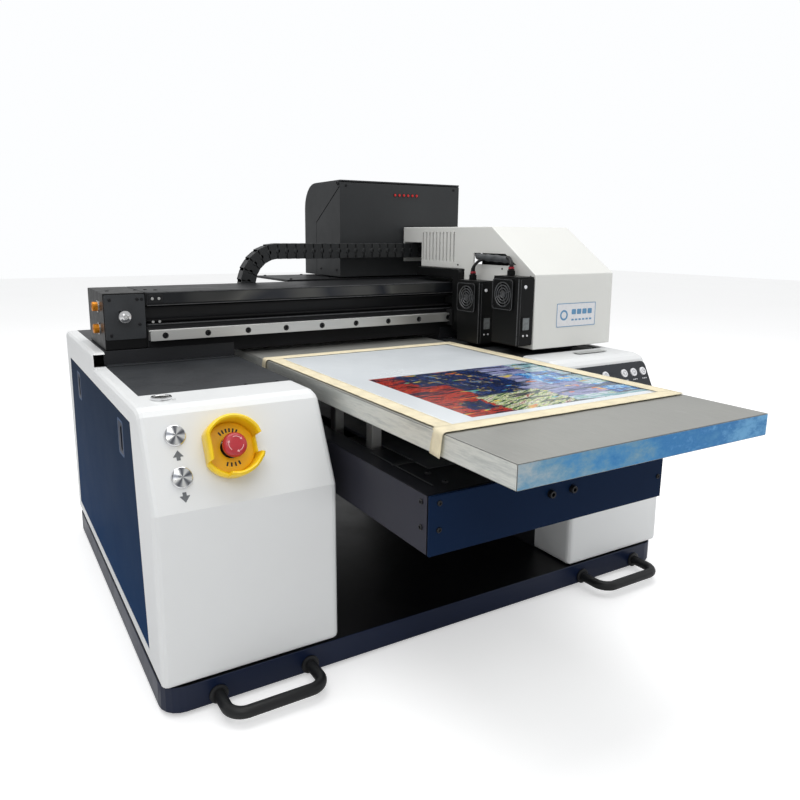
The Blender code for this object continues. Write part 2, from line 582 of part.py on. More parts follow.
for label, y, z in (("front", (-166.0, -109.0), (334.5, 435.0)), ("rear", (-76.0, -21.0), (325.5, 424.0))):
    cy = y[1] - 25.0
    cz = z[1] - 26.0
    side = Matrix.Rotation(math.radians(-90), 4, "Y")
    port = moved(placed(lathe([(18.6, -10.0), (18.6, 10.0)], 24), side), LAMP_X[0], cy, cz)
    solid(f"uv_lamp_{label}", block(LAMP_X, y, z), BLACK, bevel=1.0, segments=1, cut=(port,))
    hub = lathe([(6.5, -8.8), (6.5, -3.2)], 16)
    blades = []
    for k in range(5):
        blade = block((5.0, 17.4), (-3.4, 3.4), (-0.7, 0.7))
        blade = moved(placed(blade, Matrix.Rotation(math.radians(32), 4, "X")), 0.0, 0.0, -6.0)
        blades.append(placed(blade, Matrix.Rotation(math.radians(72 * k), 4, "Z")))
    at = Matrix.Translation((LAMP_X[0], cy, cz)) @ side
    solid(f"fan_{label}", placed(hub, at), BLACK, origin=(LAMP_X[0] + 6.0, cy, cz), smooth=True,
          join=(placed(together(*blades), at),))

# Cap station under the parked print head
cup = block((246.0, 334.0), (-134.0, -36.0), (298.0, 325.6))
pad = block((256.0, 324.0), (-124.0, -46.0), (320.0, 340.0))
solid("cap_station", cup, GREY, bevel=1.0, segments=1, cut=(pad,))
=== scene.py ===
"""Looks for the flatbed UV printer: materials, fasteners, cables, chain links, sheet, light and camera.

Shapes are in millimetres from the middle of the tray, and piece() turns them into the frame's metres.
"""

import json
import random
from fnmatch import fnmatch
from math import atan2, cos, pi, radians, sin

import bpy
import bmesh
from mathutils import Matrix, Vector


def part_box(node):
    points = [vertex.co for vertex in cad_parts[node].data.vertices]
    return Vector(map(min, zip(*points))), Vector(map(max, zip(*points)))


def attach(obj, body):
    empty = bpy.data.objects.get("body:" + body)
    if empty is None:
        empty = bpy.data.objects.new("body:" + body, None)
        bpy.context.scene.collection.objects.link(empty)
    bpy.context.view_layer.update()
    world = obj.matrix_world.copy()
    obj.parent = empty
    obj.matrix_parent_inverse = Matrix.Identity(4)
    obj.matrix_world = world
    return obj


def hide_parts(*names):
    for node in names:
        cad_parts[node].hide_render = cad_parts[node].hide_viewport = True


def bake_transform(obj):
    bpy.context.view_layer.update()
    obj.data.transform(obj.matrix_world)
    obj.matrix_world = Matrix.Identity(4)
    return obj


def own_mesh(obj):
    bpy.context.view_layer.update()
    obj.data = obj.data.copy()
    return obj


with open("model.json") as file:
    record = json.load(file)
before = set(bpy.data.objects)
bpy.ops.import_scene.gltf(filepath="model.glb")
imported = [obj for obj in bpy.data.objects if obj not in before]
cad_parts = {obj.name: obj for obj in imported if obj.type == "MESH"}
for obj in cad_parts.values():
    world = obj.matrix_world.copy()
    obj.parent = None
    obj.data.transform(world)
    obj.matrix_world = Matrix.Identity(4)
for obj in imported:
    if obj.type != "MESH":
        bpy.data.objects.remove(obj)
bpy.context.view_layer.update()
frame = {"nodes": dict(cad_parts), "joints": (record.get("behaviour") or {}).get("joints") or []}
rng = random.Random(7)

MM = 0.001
tray_low, tray_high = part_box("base_tray")
HOME = Vector(((tray_low.x + tray_high.x) / 2, (tray_low.y + tray_high.y) / 2, 0))
UP = Vector((0, 0, 1))
FRONT = Vector((0, -1, 0))
BACK = Vector((0, 1, 0))
LEFT = Vector((-1, 0, 0))
RIGHT = Vector((1, 0, 0))


def box_of(node):
    """A node's box in millimetres from the middle of the tray."""
    lo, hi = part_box(node)
    return (lo - HOME) / MM, (hi - HOME) / MM


# ---------------------------------------------------------------- materials


class Net:
    """A small helper for building one node material."""

    def __init__(self, name):
        self.mat = bpy.data.materials.new(name)
        self.mat.use_nodes = True
        self.tree = self.mat.node_tree
        self.bsdf = self.tree.nodes["Principled BSDF"]
        self.coord = self.tree.nodes.new("ShaderNodeTexCoord")

    def add(self, kind, **values):
        """A new node, with its settings or the values of its inputs."""
        node = self.tree.nodes.new(kind)
        for key, value in values.items():
            if hasattr(node, key):
                setattr(node, key, value)
            else:
                node.inputs[key].default_value = value
        return node

    def link(self, a, b):
        self.tree.links.new(a, b)

    def colour(self, tone):
        self.link(tone, self.bsdf.inputs["Base Color"])

    def place(self, scale=(1, 1, 1), turn=(0, 0, 0), shift=(0, 0, 0)):
        node = self.add("ShaderNodeMapping", Scale=scale, Rotation=turn, Location=shift)
        self.link(self.coord.outputs["Object"], node.inputs["Vector"])
        return node.outputs["Vector"]

    def noise(self, scale, detail=3, rough=0.55, vector=None):
        node = self.add("ShaderNodeTexNoise", Scale=scale, Detail=detail, Roughness=rough)
        self.link(vector or self.place(), node.inputs["Vector"])
        return node.outputs["Fac"]

    def ramp(self, fac, stops, mode="LINEAR"):
        node = self.add("ShaderNodeValToRGB")
        ramp = node.color_ramp
        ramp.interpolation = mode
        while len(ramp.elements) < len(stops):
            ramp.elements.new(0.5)
        for item, (at, rgb) in zip(ramp.elements, stops):
            item.position = at
            item.color = (*rgb, 1)
        self.link(fac, node.inputs["Fac"])
        return node.outputs["Color"]

    def span(self, fac, a, b, lo=0, hi=1):
        """Turns lo..hi of a value into a..b."""
        ends = {"From Min": lo, "From Max": hi, "To Min": a, "To Max": b}
        node = self.add("ShaderNodeMapRange", **ends)
        self.link(fac, node.inputs["Value"])
        return node.outputs["Result"]

    def feed(self, socket, value):
        if isinstance(value, (int, float)):
            socket.default_value = value
        elif isinstance(value, tuple):
            socket.default_value = (*value, 1)
        else:
            self.link(value, socket)

    def mix(self, fac, a, b):
        node = self.add("ShaderNodeMix", data_type="RGBA")
        self.feed(node.inputs["Factor"], fac)
        low, high = [socket for socket in node.inputs if socket.type == "RGBA"]
        self.feed(low, a)
        self.feed(high, b)
        return [socket for socket in node.outputs if socket.type == "RGBA"][0]

    def math(self, how, a, b=0):
        node = self.add("ShaderNodeMath", operation=how)
        for socket, value in zip(node.inputs, (a, b)):
            self.feed(socket, value)
        return node.outputs[0]

    def inside(self, value, lo, hi):
        """One where a value lies between two others, else zero."""
        return self.math("MULTIPLY", self.math("GREATER_THAN", value, lo), self.math("LESS_THAN", value, hi))

    def bump(self, height, strength, distance):
        node = self.add("ShaderNodeBump", Strength=strength, Distance=distance)
        self.link(height, node.inputs["Height"])
        self.link(node.outputs["Normal"], self.bsdf.inputs["Normal"])

    def part_of(self, vector, axis):
        parts = self.add("ShaderNodeSeparateXYZ")
        self.link(vector, parts.inputs[0])
        return parts.outputs[axis]

    def facing(self, axis):
        """How far the surface at rest faces along one axis, from -1 to 1."""
        return self.part_of(self.add("ShaderNodeNewGeometry").outputs["Normal"], axis)

    def along(self, axis):
        """How far the point lies along one axis of the piece, in metres."""
        return self.part_of(self.coord.outputs["Object"], axis)


def look(name, rgb, rough=0.4, metal=0, vary=0.14, patch=7, grain=1500, bump=0.12, depth=0.00012,
         coat=0, brushed=None, spread=0.08, shine=0.5, lines=0.18):
    """Painted, moulded or metal surface: patchy colour, uneven gloss and a fine grain."""
    net = Net(name)
    darker = tuple(c * (1 - vary) for c in rgb)
    lighter = tuple(min(1, c * (1 + vary * 0.6)) for c in rgb)
    patches = net.noise(patch, 4, 0.6)
    tone = net.ramp(patches, [(0.3, darker), (0.55, rgb), (0.75, lighter)])
    stretch = net.place(scale=brushed) if brushed else net.place()
    fine = net.noise(grain, 2, 0.5, stretch)
    if brushed:
        scaled = net.add("ShaderNodeVectorMath", operation="SCALE")
        net.link(tone, scaled.inputs[0])
        net.link(net.span(fine, 1 - lines, 1 + lines * 0.6), scaled.inputs["Scale"])
        tone = scaled.outputs[0]
    net.colour(tone)
    smear = net.noise(patch * 3.1, 5, 0.65)
    uneven = net.span(smear, rough - spread, rough + spread, 0.25, 0.75)
    net.link(uneven, net.bsdf.inputs["Roughness"])
    net.bsdf.inputs["Metallic"].default_value = metal
    net.bsdf.inputs["Specular IOR Level"].default_value = shine
    net.bsdf.inputs["Coat Weight"].default_value = coat
    net.bsdf.inputs["Coat Roughness"].default_value = 0.15
    net.bump(fine, bump, depth)
    net.tone = tone
    return net


ENAMEL = {"vary": 0.025, "patch": 4, "bump": 0.18, "coat": 0.1}
PRINTED = {"patch": 150, "grain": 2500}

WHITE = look("white_powder", (0.79, 0.8, 0.8), 0.38, **ENAMEL)
WARM_WHITE = look("warm_white_powder", (0.78, 0.78, 0.745), 0.38, **ENAMEL)
# This black also colours the dark rings around the rail screws, painted shade in their counterbores.
BLACK = look("black_powder_and_hole_shade", (0.011, 0.0115, 0.013), 0.4, vary=0.25, grain=1700, bump=0.25, shine=0.28)
DECK = look("deck_powder", (0.034, 0.037, 0.041), 0.42, vary=0.3, patch=9, bump=0.3, shine=0.4)
RISER = look("riser_powder", (0.02, 0.021, 0.024), 0.42, vary=0.25, patch=9, bump=0.3, shine=0.35)
SHADE = look("lamp_black", (0.0065, 0.0068, 0.007), 0.36, vary=0.3, patch=20, bump=0.25, shine=0.16)
GREY = look("cabinet_powder", (0.028, 0.03, 0.032), 0.48, vary=0.18, patch=6, grain=1300, bump=0.35,
            shine=0.35)
NAVY = look("navy_plate", (0.0055, 0.0165, 0.048), 0.34, vary=0.12, patch=5, bump=0.2, shine=0.03)
SLOT_EDGE = look("slot_edge", (0.03, 0.075, 0.17), 0.35, vary=0.1, patch=40, bump=0.1, shine=0.02)
# This black also colours the two dark strips at the beam: painted shade under its front, and a light block
# behind it.
RUBBER_AND_SHADE_STRIP = look("rubber", (0.01, 0.01, 0.011), 0.78, vary=0.3, grain=700, bump=0.4, shine=0.2)
PLASTIC = look("black_moulding", (0.012, 0.0125, 0.0135), 0.42, vary=0.2, grain=1100, bump=0.3, shine=0.32)
GLOSS = look("gloss_black", (0.006, 0.009, 0.016), 0.16, vary=0.3, patch=12, grain=500, bump=0.05,
             shine=0.35)
FAN = look("fan_moulding", (0.006, 0.006, 0.007), 0.38, vary=0.3, patch=60, shine=0.3)
CHAIN = look("chain_moulding", (0.017, 0.0185, 0.02), 0.34, vary=0.3, patch=30, grain=1100, bump=0.3,
             shine=0.45)
CABLE = look("cable", (0.01, 0.01, 0.011), 0.45, vary=0.3, patch=60, bump=0.3, shine=0.4)
SLEEVE = look("cable_sleeve", (0.07, 0.075, 0.08), 0.5, vary=0.5, patch=90, grain=500, bump=0.6,
              depth=0.0004)
TANK = look("tank_moulding", (0.23, 0.24, 0.25), 0.3, vary=0.2, patch=20, grain=900)
STEEL = look("ground_steel", (0.6, 0.6, 0.585), 0.34, 0.75, vary=0.05, patch=4, grain=90, bump=0.06,
             brushed=(0.4, 20, 20), lines=0.12, spread=0.04)
ALU = look("aluminium", (0.52, 0.52, 0.51), 0.38, 0.9, vary=0.08, patch=6, grain=55, bump=0.1,
           brushed=(1, 22, 1))
BOLT = look("black_oxide", (0.012, 0.012, 0.014), 0.32, 0.4, vary=0.3, grain=900, shine=0.4)
ZINC = look("zinc", (0.55, 0.55, 0.54), 0.3, 1, vary=0.2, patch=60, grain=900)
CHROME = look("chrome", (0.78, 0.78, 0.79), 0.1, 1, vary=0.08, patch=60, grain=400, bump=0.03,
              spread=0.05)
ORANGE = look("orange_anodised", (0.66, 0.24, 0.012), 0.3, 0.6, vary=0.25, patch=80, grain=900)
# This grey also colours light lines painted as highlights along edges of the beam and the lamps.
WIRE_AND_EDGE_HIGHLIGHT = look("guard_wire_and_edge_highlight", (0.075, 0.077, 0.08), 0.3, vary=0.3, patch=60)
AMBER = look("guard_dish", (0.95, 0.54, 0.01), 0.34, vary=0.1, patch=40, grain=900, bump=0.2)
YELLOW = look("yellow_guard", (0.98, 0.66, 0.008), 0.36, vary=0.08, patch=25, grain=1200, coat=0.15)
RED = look("red_cap", (0.5, 0.024, 0.036), 0.34, vary=0.12, patch=60, coat=0.25)
RED_PLUG = look("red_plug", (0.45, 0.02, 0.04), 0.4, vary=0.15, patch=90)
WHITE_KEY = look("white_key", (0.8, 0.8, 0.82), 0.3, vary=0.04, patch=80, grain=900, coat=0.4)
LABEL_GREY = look("label_grey", (0.42, 0.43, 0.42), 0.35, vary=0.1, patch=90)
SKY = look("sky_mark", (0.12, 0.3, 0.5), 0.4, vary=0.15, patch=90)
MARK = look("white_mark", (0.75, 0.76, 0.78), 0.5, vary=0.06, **PRINTED)
PINK_MARK = look("pale_red_mark", (0.78, 0.42, 0.42), 0.5, vary=0.12, **PRINTED)
INK_MARK = look("dark_mark", (0.02, 0.02, 0.024), 0.55, vary=0.2, **PRINTED)
GREY_MARK = look("grey_mark", (0.14, 0.15, 0.16), 0.55, vary=0.2, **PRINTED)
TAPE = look("crepe_tape", (0.8, 0.71, 0.5), 0.6, patch=60, grain=420, bump=0.5, depth=0.0002)
LCD = look("lcd", (0.17, 0.185, 0.19), 0.2, vary=0.35, patch=220, grain=900, coat=0.5)


def red_led():
    """Small indicator that is barely lit."""
    net = look("red_led", (0.42, 0.015, 0.015), 0.3, vary=0.2, patch=200, grain=900)
    net.link(net.tone, net.bsdf.inputs["Emission Color"])
    net.bsdf.inputs["Emission Strength"].default_value = 0.25
    return net


def navy_tray():
    """Navy sides, and near-black on the faces of the tray that point up, such as the floor between the pods.
    """
    net = look("navy_tray", (0.0042, 0.0105, 0.036), 0.34, vary=0.15, bump=0.2, shine=0.3)
    top = net.span(net.facing("Z"), 0, 1, 0.9, 0.98)
    net.colour(net.mix(top, net.tone, (0.004, 0.004, 0.0048)))
    return net


def blue_panel():
    """Blue powder coat, with a painted sheen that makes it greyer towards the top edge of the panel."""
    net = look("blue_panel", (0.012, 0.042, 0.115), 0.36, vary=0.1, patch=3, bump=0.2, shine=0.001,
               spread=0.05)
    # Painted sheen: the colour turns greyer with height, standing in for the pale reflection on the upper
    # panel.
    height = net.span(net.along("Z"), 0, 1, 0.06, 0.3)
    net.colour(net.mix(height, net.tone, (0.022, 0.036, 0.066)))
    return net


def housing_paint():
    """Black paint with a painted violet-grey sheen on the upright sides, standing in for light falling on
    them, which grows fainter towards the rear.
    """
    net = look("housing_paint", (0.008, 0.0085, 0.011), 0.36, vary=0.25, patch=5, bump=0.25, shine=0.12)
    # Painted sheen: the sides facing left and right are lighter, less so towards the rear.
    side = net.span(net.math("ABSOLUTE", net.facing("X")), 0, 1, 0.8, 0.95)
    painted_side_sheen = net.math("MULTIPLY", side, net.span(net.along("Y"), 1, 0.15, -0.36, 0.05))
    net.colour(net.mix(painted_side_sheen, net.tone, (0.036, 0.036, 0.05)))
    return net


def table_metal():
    """Milled plate: fine lines, small scuffs, a painted highlight on its left side, and a painted cool
    mottled reflection on its front edge.
    """
    net = look("table_metal", (0.4, 0.4, 0.375), 0.4, 0.55, vary=0.07, patch=5, grain=45, bump=0.1,
               brushed=(26, 1, 1), spread=0.06, lines=0.14)
    scuff = net.noise(38, 8, 0.75, net.place(scale=(1, 0.35, 1)))
    tone = net.mix(net.span(scuff, 0, 0.35, 0.62, 0.75), net.tone, (0.62, 0.62, 0.61))
    # Painted highlight: the face that points left gets lighter streaks, standing in for light on it.
    side = net.span(net.math("MULTIPLY", net.facing("X"), -1), 0, 1, 0.8, 0.95)
    streak = net.noise(9, 6, 0.7, net.place(scale=(1, 1, 9)))
    bright = net.ramp(streak, [(0.38, (0.52, 0.54, 0.52)), (0.5, (0.72, 0.73, 0.69)),
                               (0.62, (0.6, 0.62, 0.59))])
    tone = net.mix(side, tone, bright)
    # Painted reflection: the face that points to the front gets a mottled cool blue, standing in for what it
    # reflects.
    front = net.span(net.math("MULTIPLY", net.facing("Y"), -1), 0, 1, 0.8, 0.95)
    cloud = net.noise(24, 7, 0.78, net.place(scale=(1, 1, 1.7)))
    along = net.span(net.along("X"), -0.16, 0.3, -0.16, 0.17)
    shade = net.math("ADD", cloud, along)
    sheen = net.ramp(shade, [(0.22, (0.4, 0.47, 0.5)), (0.42, (0.16, 0.33, 0.47)),
                             (0.55, (0.07, 0.27, 0.52)), (0.68, (0.03, 0.2, 0.48)),
                             (0.85, (0.16, 0.42, 0.7))])
    net.colour(net.mix(front, tone, sheen))
    return net


def torn_box(net, u, v, box):
    """One inside a box of the picture's own u, v places, with slightly torn edges, else zero."""
    rough = net.math("MULTIPLY", net.math("SUBTRACT", net.noise(90, 5, 0.8), 0.5), 0.1)
    columns = net.inside(net.math("ADD", u, rough), *box[:2])
    rows = net.inside(net.math("ADD", v, rough), *box[2:])
    return net.math("MULTIPLY", columns, rows)


def strokes(net, scale, stretch, angle, shift, stops):
    """Broken parallel strokes in one direction."""
    turned = net.place(turn=(0, 0, radians(angle)), shift=(shift, 0, 0))
    squeeze = net.add("ShaderNodeMapping", Scale=(1, stretch, 1))
    net.link(turned, squeeze.inputs["Vector"])
    return net.ramp(net.noise(scale, 4, 0.62, squeeze.outputs["Vector"]), stops, "CONSTANT")


def paper_print(x0, x1, y0, y1):
    """A coated white sheet with a loose abstract picture of broken colour strokes on part of it."""
    net = look("printed_sheet", (0.8, 0.84, 0.87), 0.22, vary=0.015, patch=2, grain=700, bump=0.02,
               coat=0.3)
    u = net.span(net.along("X"), 0, 1, x0, x1)
    v = net.span(net.along("Y"), 0, 1, y0, y1)
    trim = 0.002
    picture = net.math("MULTIPLY", net.inside(u, trim, 1 - trim), net.inside(v, trim, 1 - trim))
    ink = (0.006, 0.006, 0.012)
    night = (0.004, 0.01, 0.04)
    red = (0.52, 0.028, 0.016)
    reds = strokes(net, 40, 4, 3, 0, [
        (0, ink), (0.41, (0.26, 0.012, 0.01)), (0.44, red), (0.49, ink), (0.51, (0.62, 0.07, 0.03)),
        (0.55, ink), (0.57, red), (0.63, ink)])
    blues = strokes(net, 34, 3, 68, 2, [
        (0, night), (0.42, (0.006, 0.03, 0.18)), (0.45, ink), (0.5, (0.008, 0.06, 0.3)), (0.53, ink),
        (0.57, night), (0.6, (0.6, 0.42, 0.05)), (0.62, (0.03, 0.16, 0.4))])
    beams = strokes(net, 34, 7, -26, 1, [
        (0.38, (0.01, 0.05, 0.05)), (0.43, (0.25, 0.38, 0.1)), (0.48, (0.8, 0.78, 0.45)),
        (0.52, (0.12, 0.24, 0.16)), (0.56, (0.82, 0.84, 0.7)), (0.6, (0.4, 0.05, 0.03)),
        (0.65, (0.02, 0.1, 0.12))])
    veil = strokes(net, 30, 4, 8, 3, [
        (0.36, (0.1, 0.12, 0.3)), (0.44, (0.26, 0.26, 0.46)), (0.5, (0.36, 0.38, 0.58)),
        (0.56, (0.14, 0.2, 0.36)), (0.64, (0.52, 0.56, 0.66))])
    art = strokes(net, 30, 4.2, 3, 5, [
        (0.38, (0.16, 0.36, 0.4)), (0.46, (0.34, 0.52, 0.56)), (0.52, (0.6, 0.66, 0.78)),
        (0.58, (0.18, 0.42, 0.36)), (0.66, (0.5, 0.56, 0.3))])
    water = strokes(net, 46, 0.4, 0, 4, [
        (0.4, (0.02, 0.1, 0.4)), (0.47, (0.05, 0.3, 0.7)), (0.53, (0.36, 0.62, 0.82)),
        (0.58, (0.04, 0.16, 0.46)), (0.66, (0.6, 0.7, 0.8))])
    for layer, box in ((reds, (-1, 0.36, -1, 2)), (blues, (0.26, 0.62, 0.3, 2)),
                       (blues, (0.14, 0.36, 0.66, 2)), (blues, (0.08, 0.2, 0.1, 0.26)),
                       (veil, (0.52, 0.86, 0.1, 0.42)), (veil, (0.6, 0.82, 0.42, 2)),
                       (beams, (0.22, 0.58, -1, 0.34)), (water, (0.7, 0.92, 0.4, 0.72)),
                       (water, (0.84, 2, 0.05, 0.28))):
        art = net.mix(torn_box(net, u, v, box), art, layer)
    slant = net.place(scale=(0.22, 1.6, 1), turn=(0, 0, radians(-38)))
    art = net.mix(net.span(net.noise(70, 3, 0.6, slant), 0, 0.85, 0.555, 0.575), art, night)
    flecks = net.place(scale=(0.35, 1.2, 1), turn=(0, 0, radians(18)), shift=(7, 0, 0))
    accent = net.ramp(net.noise(26, 1), [(0.4, (0.75, 0.16, 0.02)), (0.5, (0.8, 0.58, 0.06)),
                                             (0.58, (0.1, 0.42, 0.2)), (0.66, (0.12, 0.38, 0.75))])
    art = net.mix(net.span(net.noise(90, 2, 0.5, flecks), 0, 0.9, 0.64, 0.66), art, accent)
    net.colour(net.mix(picture, net.tone, art))
    return net


def painted_glint_chrome():
    """Turned metal cap whose bright and dark fans, painted highlights and reflections, meet in the middle.
    """
    net = look("turned_chrome_painted_glints", (0.7, 0.7, 0.72), 0.16, 1, vary=0.1, patch=90, grain=500)
    fan = net.add("ShaderNodeTexGradient", gradient_type="RADIAL")
    net.link(net.place(), fan.inputs["Vector"])
    fans = 5
    # Painted highlights: five bright and dark fans around the middle of the cap.
    waves = net.math("SINE", net.math("MULTIPLY", fan.outputs["Fac"], 2 * pi * fans))
    uneven = net.math("ADD", waves, net.math("MULTIPLY", net.noise(120), 0.6))
    net.colour(net.ramp(net.span(uneven, 0, 1, -1, 1.6), [
        (0, (0.06, 0.065, 0.08)), (0.45, (0.42, 0.43, 0.45)), (0.8, (0.88, 0.88, 0.86))]))
    return net


def smoked_window():
    """Glossy dark strip with long slanted reflections painted into its colour."""
    net = look("smoked_window", (0.03, 0.034, 0.04), 0.1, vary=0.5, patch=5, grain=300, bump=0.02,
               shine=0.3, spread=0.04)
    # Painted reflection: slanted paler bands along the strip.
    painted_reflection_bands = net.noise(3.6, 2, 0.5, net.place(scale=(1, 1, 7), turn=(0, radians(14), 0)))
    net.colour(net.ramp(painted_reflection_bands, [(0.42, (0.01, 0.011, 0.013)), (0.5, (0.085, 0.085, 0.08)),
                                (0.55, (0.022, 0.024, 0.03)), (0.62, (0.06, 0.06, 0.058))]))
    return net


NAVY_TRAY = navy_tray()
HOUSING = housing_paint()
BLUE = blue_panel()
TABLE = table_metal()
PAINTED_GLINT_CHROME = painted_glint_chrome()
LED = red_led()
WINDOW = smoked_window()

# ---------------------------------------------------------------- shapes, in millimetres


def both(reach):
    """A range that reaches as far to one side of zero as to the other."""
    return (-reach, reach)


def angles(n):
    return [2 * pi * i / n for i in range(n)]


def circle(r, n=24, cx=0, cy=0):
    return [(cx + r * cos(t), cy + r * sin(t)) for t in angles(n)]


def arc(cx, cy, r, a0, a1, steps):
    turn = [radians(a0 + (a1 - a0) * i / steps) for i in range(steps + 1)]
    return [(cx + r * cos(t), cy + r * sin(t)) for t in turn]


def rounded(x, y, r, steps=4):
    return (arc(x[1] - r, y[0] + r, r, -90, 0, steps) + arc(x[1] - r, y[1] - r, r, 0, 90, steps)
            + arc(x[0] + r, y[1] - r, r, 90, 180, steps) + arc(x[0] + r, y[0] + r, r, 180, 270, steps))


def block(x, y, z):
    verts = [(a, b, c) for a in x for b in y for c in z]
    return verts, [(0, 1, 3, 2), (4, 6, 7, 5), (0, 4, 5, 1), (2, 3, 7, 6), (0, 2, 6, 4), (1, 5, 7, 3)]


def extrude(points, z0, z1):
    n = len(points)
    verts = [(x, y, z) for z in (z0, z1) for x, y in points]
    faces = [tuple(range(n - 1, -1, -1)), tuple(range(n, 2 * n))]
    return verts, faces + [(i, (i + 1) % n, n + (i + 1) % n, n + i) for i in range(n)]


def slab(x, y, r, z0, z1, steps=4):
    """A plate with rounded corners."""
    return extrude(rounded(x, y, r, steps), z0, z1)


def ring(outer, inner, z0, z1):
    n = len(outer)
    verts = [(x, y, z) for z in (z0, z1) for loop in (outer, inner) for x, y in loop]
    faces = []
    for i in range(n):
        j = (i + 1) % n
        faces += [(i, j, 2 * n + j, 2 * n + i), (n + j, n + i, 3 * n + i, 3 * n + j)]
        faces += [(j, i, n + i, n + j), (2 * n + i, 2 * n + j, 3 * n + j, 3 * n + i)]
    return verts, faces


def side_faces(rings, seg):
    """The faces between rings of points that stand one behind the other."""
    return [(k * seg + i, k * seg + (i + 1) % seg, (k + 1) * seg + (i + 1) % seg, (k + 1) * seg + i)
            for k in range(rings - 1) for i in range(seg)]


def end_faces(rings, seg):
    last = (rings - 1) * seg
    return [tuple(range(seg - 1, -1, -1)), tuple(range(last, last + seg))]


def lathe(profile, seg=32):
    """A solid turned around Z from points of radius and height."""
    verts = [(r * cos(t), r * sin(t), h) for r, h in profile for t in angles(seg)]
    return verts, side_faces(len(profile), seg) + end_faces(len(profile), seg)


def tube(path, r, seg=12):
    """A round bar along a path, with one radius or one for each point."""
    verts = []
    n = len(path)
    side = None
    for k in range(n):
        ahead = (Vector(path[min(k + 1, n - 1)]) - Vector(path[max(k - 1, 0)])).normalized()
        if side is None:
            side = ahead.orthogonal().normalized()
        side = (side - ahead * side.dot(ahead)).normalized()
        other = ahead.cross(side)
        radius = r[k] if isinstance(r, (list, tuple)) else r
        for t in angles(seg):
            verts.append(tuple(Vector(path[k]) + (side * cos(t) + other * sin(t)) * radius))
    return verts, side_faces(n, seg) + end_faces(n, seg)


def spline(points, steps=8):
    """Smooth path through the points (Catmull-Rom)."""
    p = [Vector(q) for q in points]
    p = [p[0] * 2 - p[1]] + p + [p[-1] * 2 - p[-2]]
    out = []
    for i in range(1, len(p) - 2):
        for k in range(steps):
            t = k / steps
            out.append(0.5 * ((2 * p[i]) + (p[i + 1] - p[i - 1]) * t
                              + (2 * p[i - 1] - 5 * p[i] + 4 * p[i + 1] - p[i + 2]) * t * t
                              + (3 * p[i] - p[i - 1] - 3 * p[i + 1] + p[i + 2]) * t * t * t))
    return out + [p[-2]]


def sheet_faces(across, along):
    """Faces of a net of points that is that many cells wide and long."""
    return [(a, a + 1, a + across + 2, a + across + 1)
            for row in range(along) for a in range(row * (across + 1), row * (across + 1) + across)]


def placed(shape, matrix):
    return [tuple(matrix @ Vector(v)) for v in shape[0]], shape[1]


def moved(shape, x=0, y=0, z=0):
    return placed(shape, Matrix.Translation((x, y, z)))


def spun(shape, degrees):
    return placed(shape, Matrix.Rotation(radians(degrees), 4, "Z"))


def joined(shapes):
    verts, faces = [], []
    for v, f in shapes:
        base = len(verts)
        verts += list(v)
        faces += [tuple(base + i for i in face) for face in f]
    return verts, faces


def frame_at(at, out, right=None):
    """Frame with Z along out and X along right, standing at a point in millimetres."""
    z = Vector(out).normalized()
    x = Vector(right) if right else (Vector((1, 0, 0)) if abs(z.x) < 0.9 else Vector((0, 1, 0)))
    x = (x - z * x.dot(z)).normalized()
    y = z.cross(x)
    m = Matrix((x, y, z)).transposed().to_4x4()
    m.translation = Vector(at)
    return m


def raised(z):
    return Matrix.Translation((0, 0, z))


def facing_front(y):
    """Frame for an outline in X and Z, with its own Z towards the front."""
    return Matrix.Translation((0, y, 0)) @ Matrix.Rotation(radians(90), 4, "X")


def facing_right(x):
    """Frame for an outline in Y and Z, with its own Z towards the right."""
    return Matrix(((0, 0, 1, x), (1, 0, 0, 0), (0, 1, 0, 0), (0, 0, 0, 1)))


def soften(obj, width):
    """Rounds the sharp edges of an object, by a width in millimetres."""
    mod = obj.modifiers.new("edge", "BEVEL")
    mod.width = width * MM
    mod.segments = 2
    mod.limit_method = "ANGLE"
    mod.angle_limit = radians(40)
    mod.harden_normals = True


def thicken(obj, thickness, offset):
    mod = obj.modifiers.new("stock", "SOLIDIFY")
    mod.thickness = thickness * MM
    mod.offset = offset


def piece(name, shape, net, body, at=None, smooth=True, bevel=0, slot=None, stands_for=(), angle=35):
    """Makes one mesh at its place, from one shape or a list, and lets it ride on its body."""
    verts, faces = joined(shape) if isinstance(shape, list) else shape
    mesh = bpy.data.meshes.new(name)
    mesh.from_pydata([tuple(Vector(v) * MM) for v in verts], [], faces)
    bm = bmesh.new()
    bm.from_mesh(mesh)
    bmesh.ops.recalc_face_normals(bm, faces=bm.faces)
    bm.to_mesh(mesh)
    bm.free()
    mesh.materials.append(net.mat)
    if smooth:
        mesh.shade_smooth()
        mesh.set_sharp_from_angle(angle=radians(angle))
    obj = bpy.data.objects.new(name, mesh)
    bpy.context.scene.collection.objects.link(obj)
    m = (at or Matrix()).copy()
    m.translation = HOME + m.translation * MM
    obj.matrix_world = m
    if bevel:
        soften(obj, bevel)
    if stands_for:
        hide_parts(*stands_for)
    if body:
        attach(obj, body)
    return obj


def spots_at(xs, ys, zs, out):
    """Places for screws at every mix of the x, y and z values, all facing the same way."""
    xs, ys, zs = [v if isinstance(v, tuple) else (v,) for v in (xs, ys, zs)]
    return [((x, y, z), out) for x in xs for y in ys for z in zs]


def screws(name, body, spots, r, h, net=BOLT):
    """A row of socket screws, one mesh: each spot is a place and the way the head faces."""
    head = lathe([(r, -0.2), (r, h * 0.65), (r * 0.86, h), (r * 0.5, h), (r * 0.5, h * 0.3)], 18)
    shapes = [placed(head, frame_at(at, out)) for at, out in spots]
    piece(name, shapes, net, body, angle=50)


# ---------------------------------------------------------------- finish of the CAD nodes

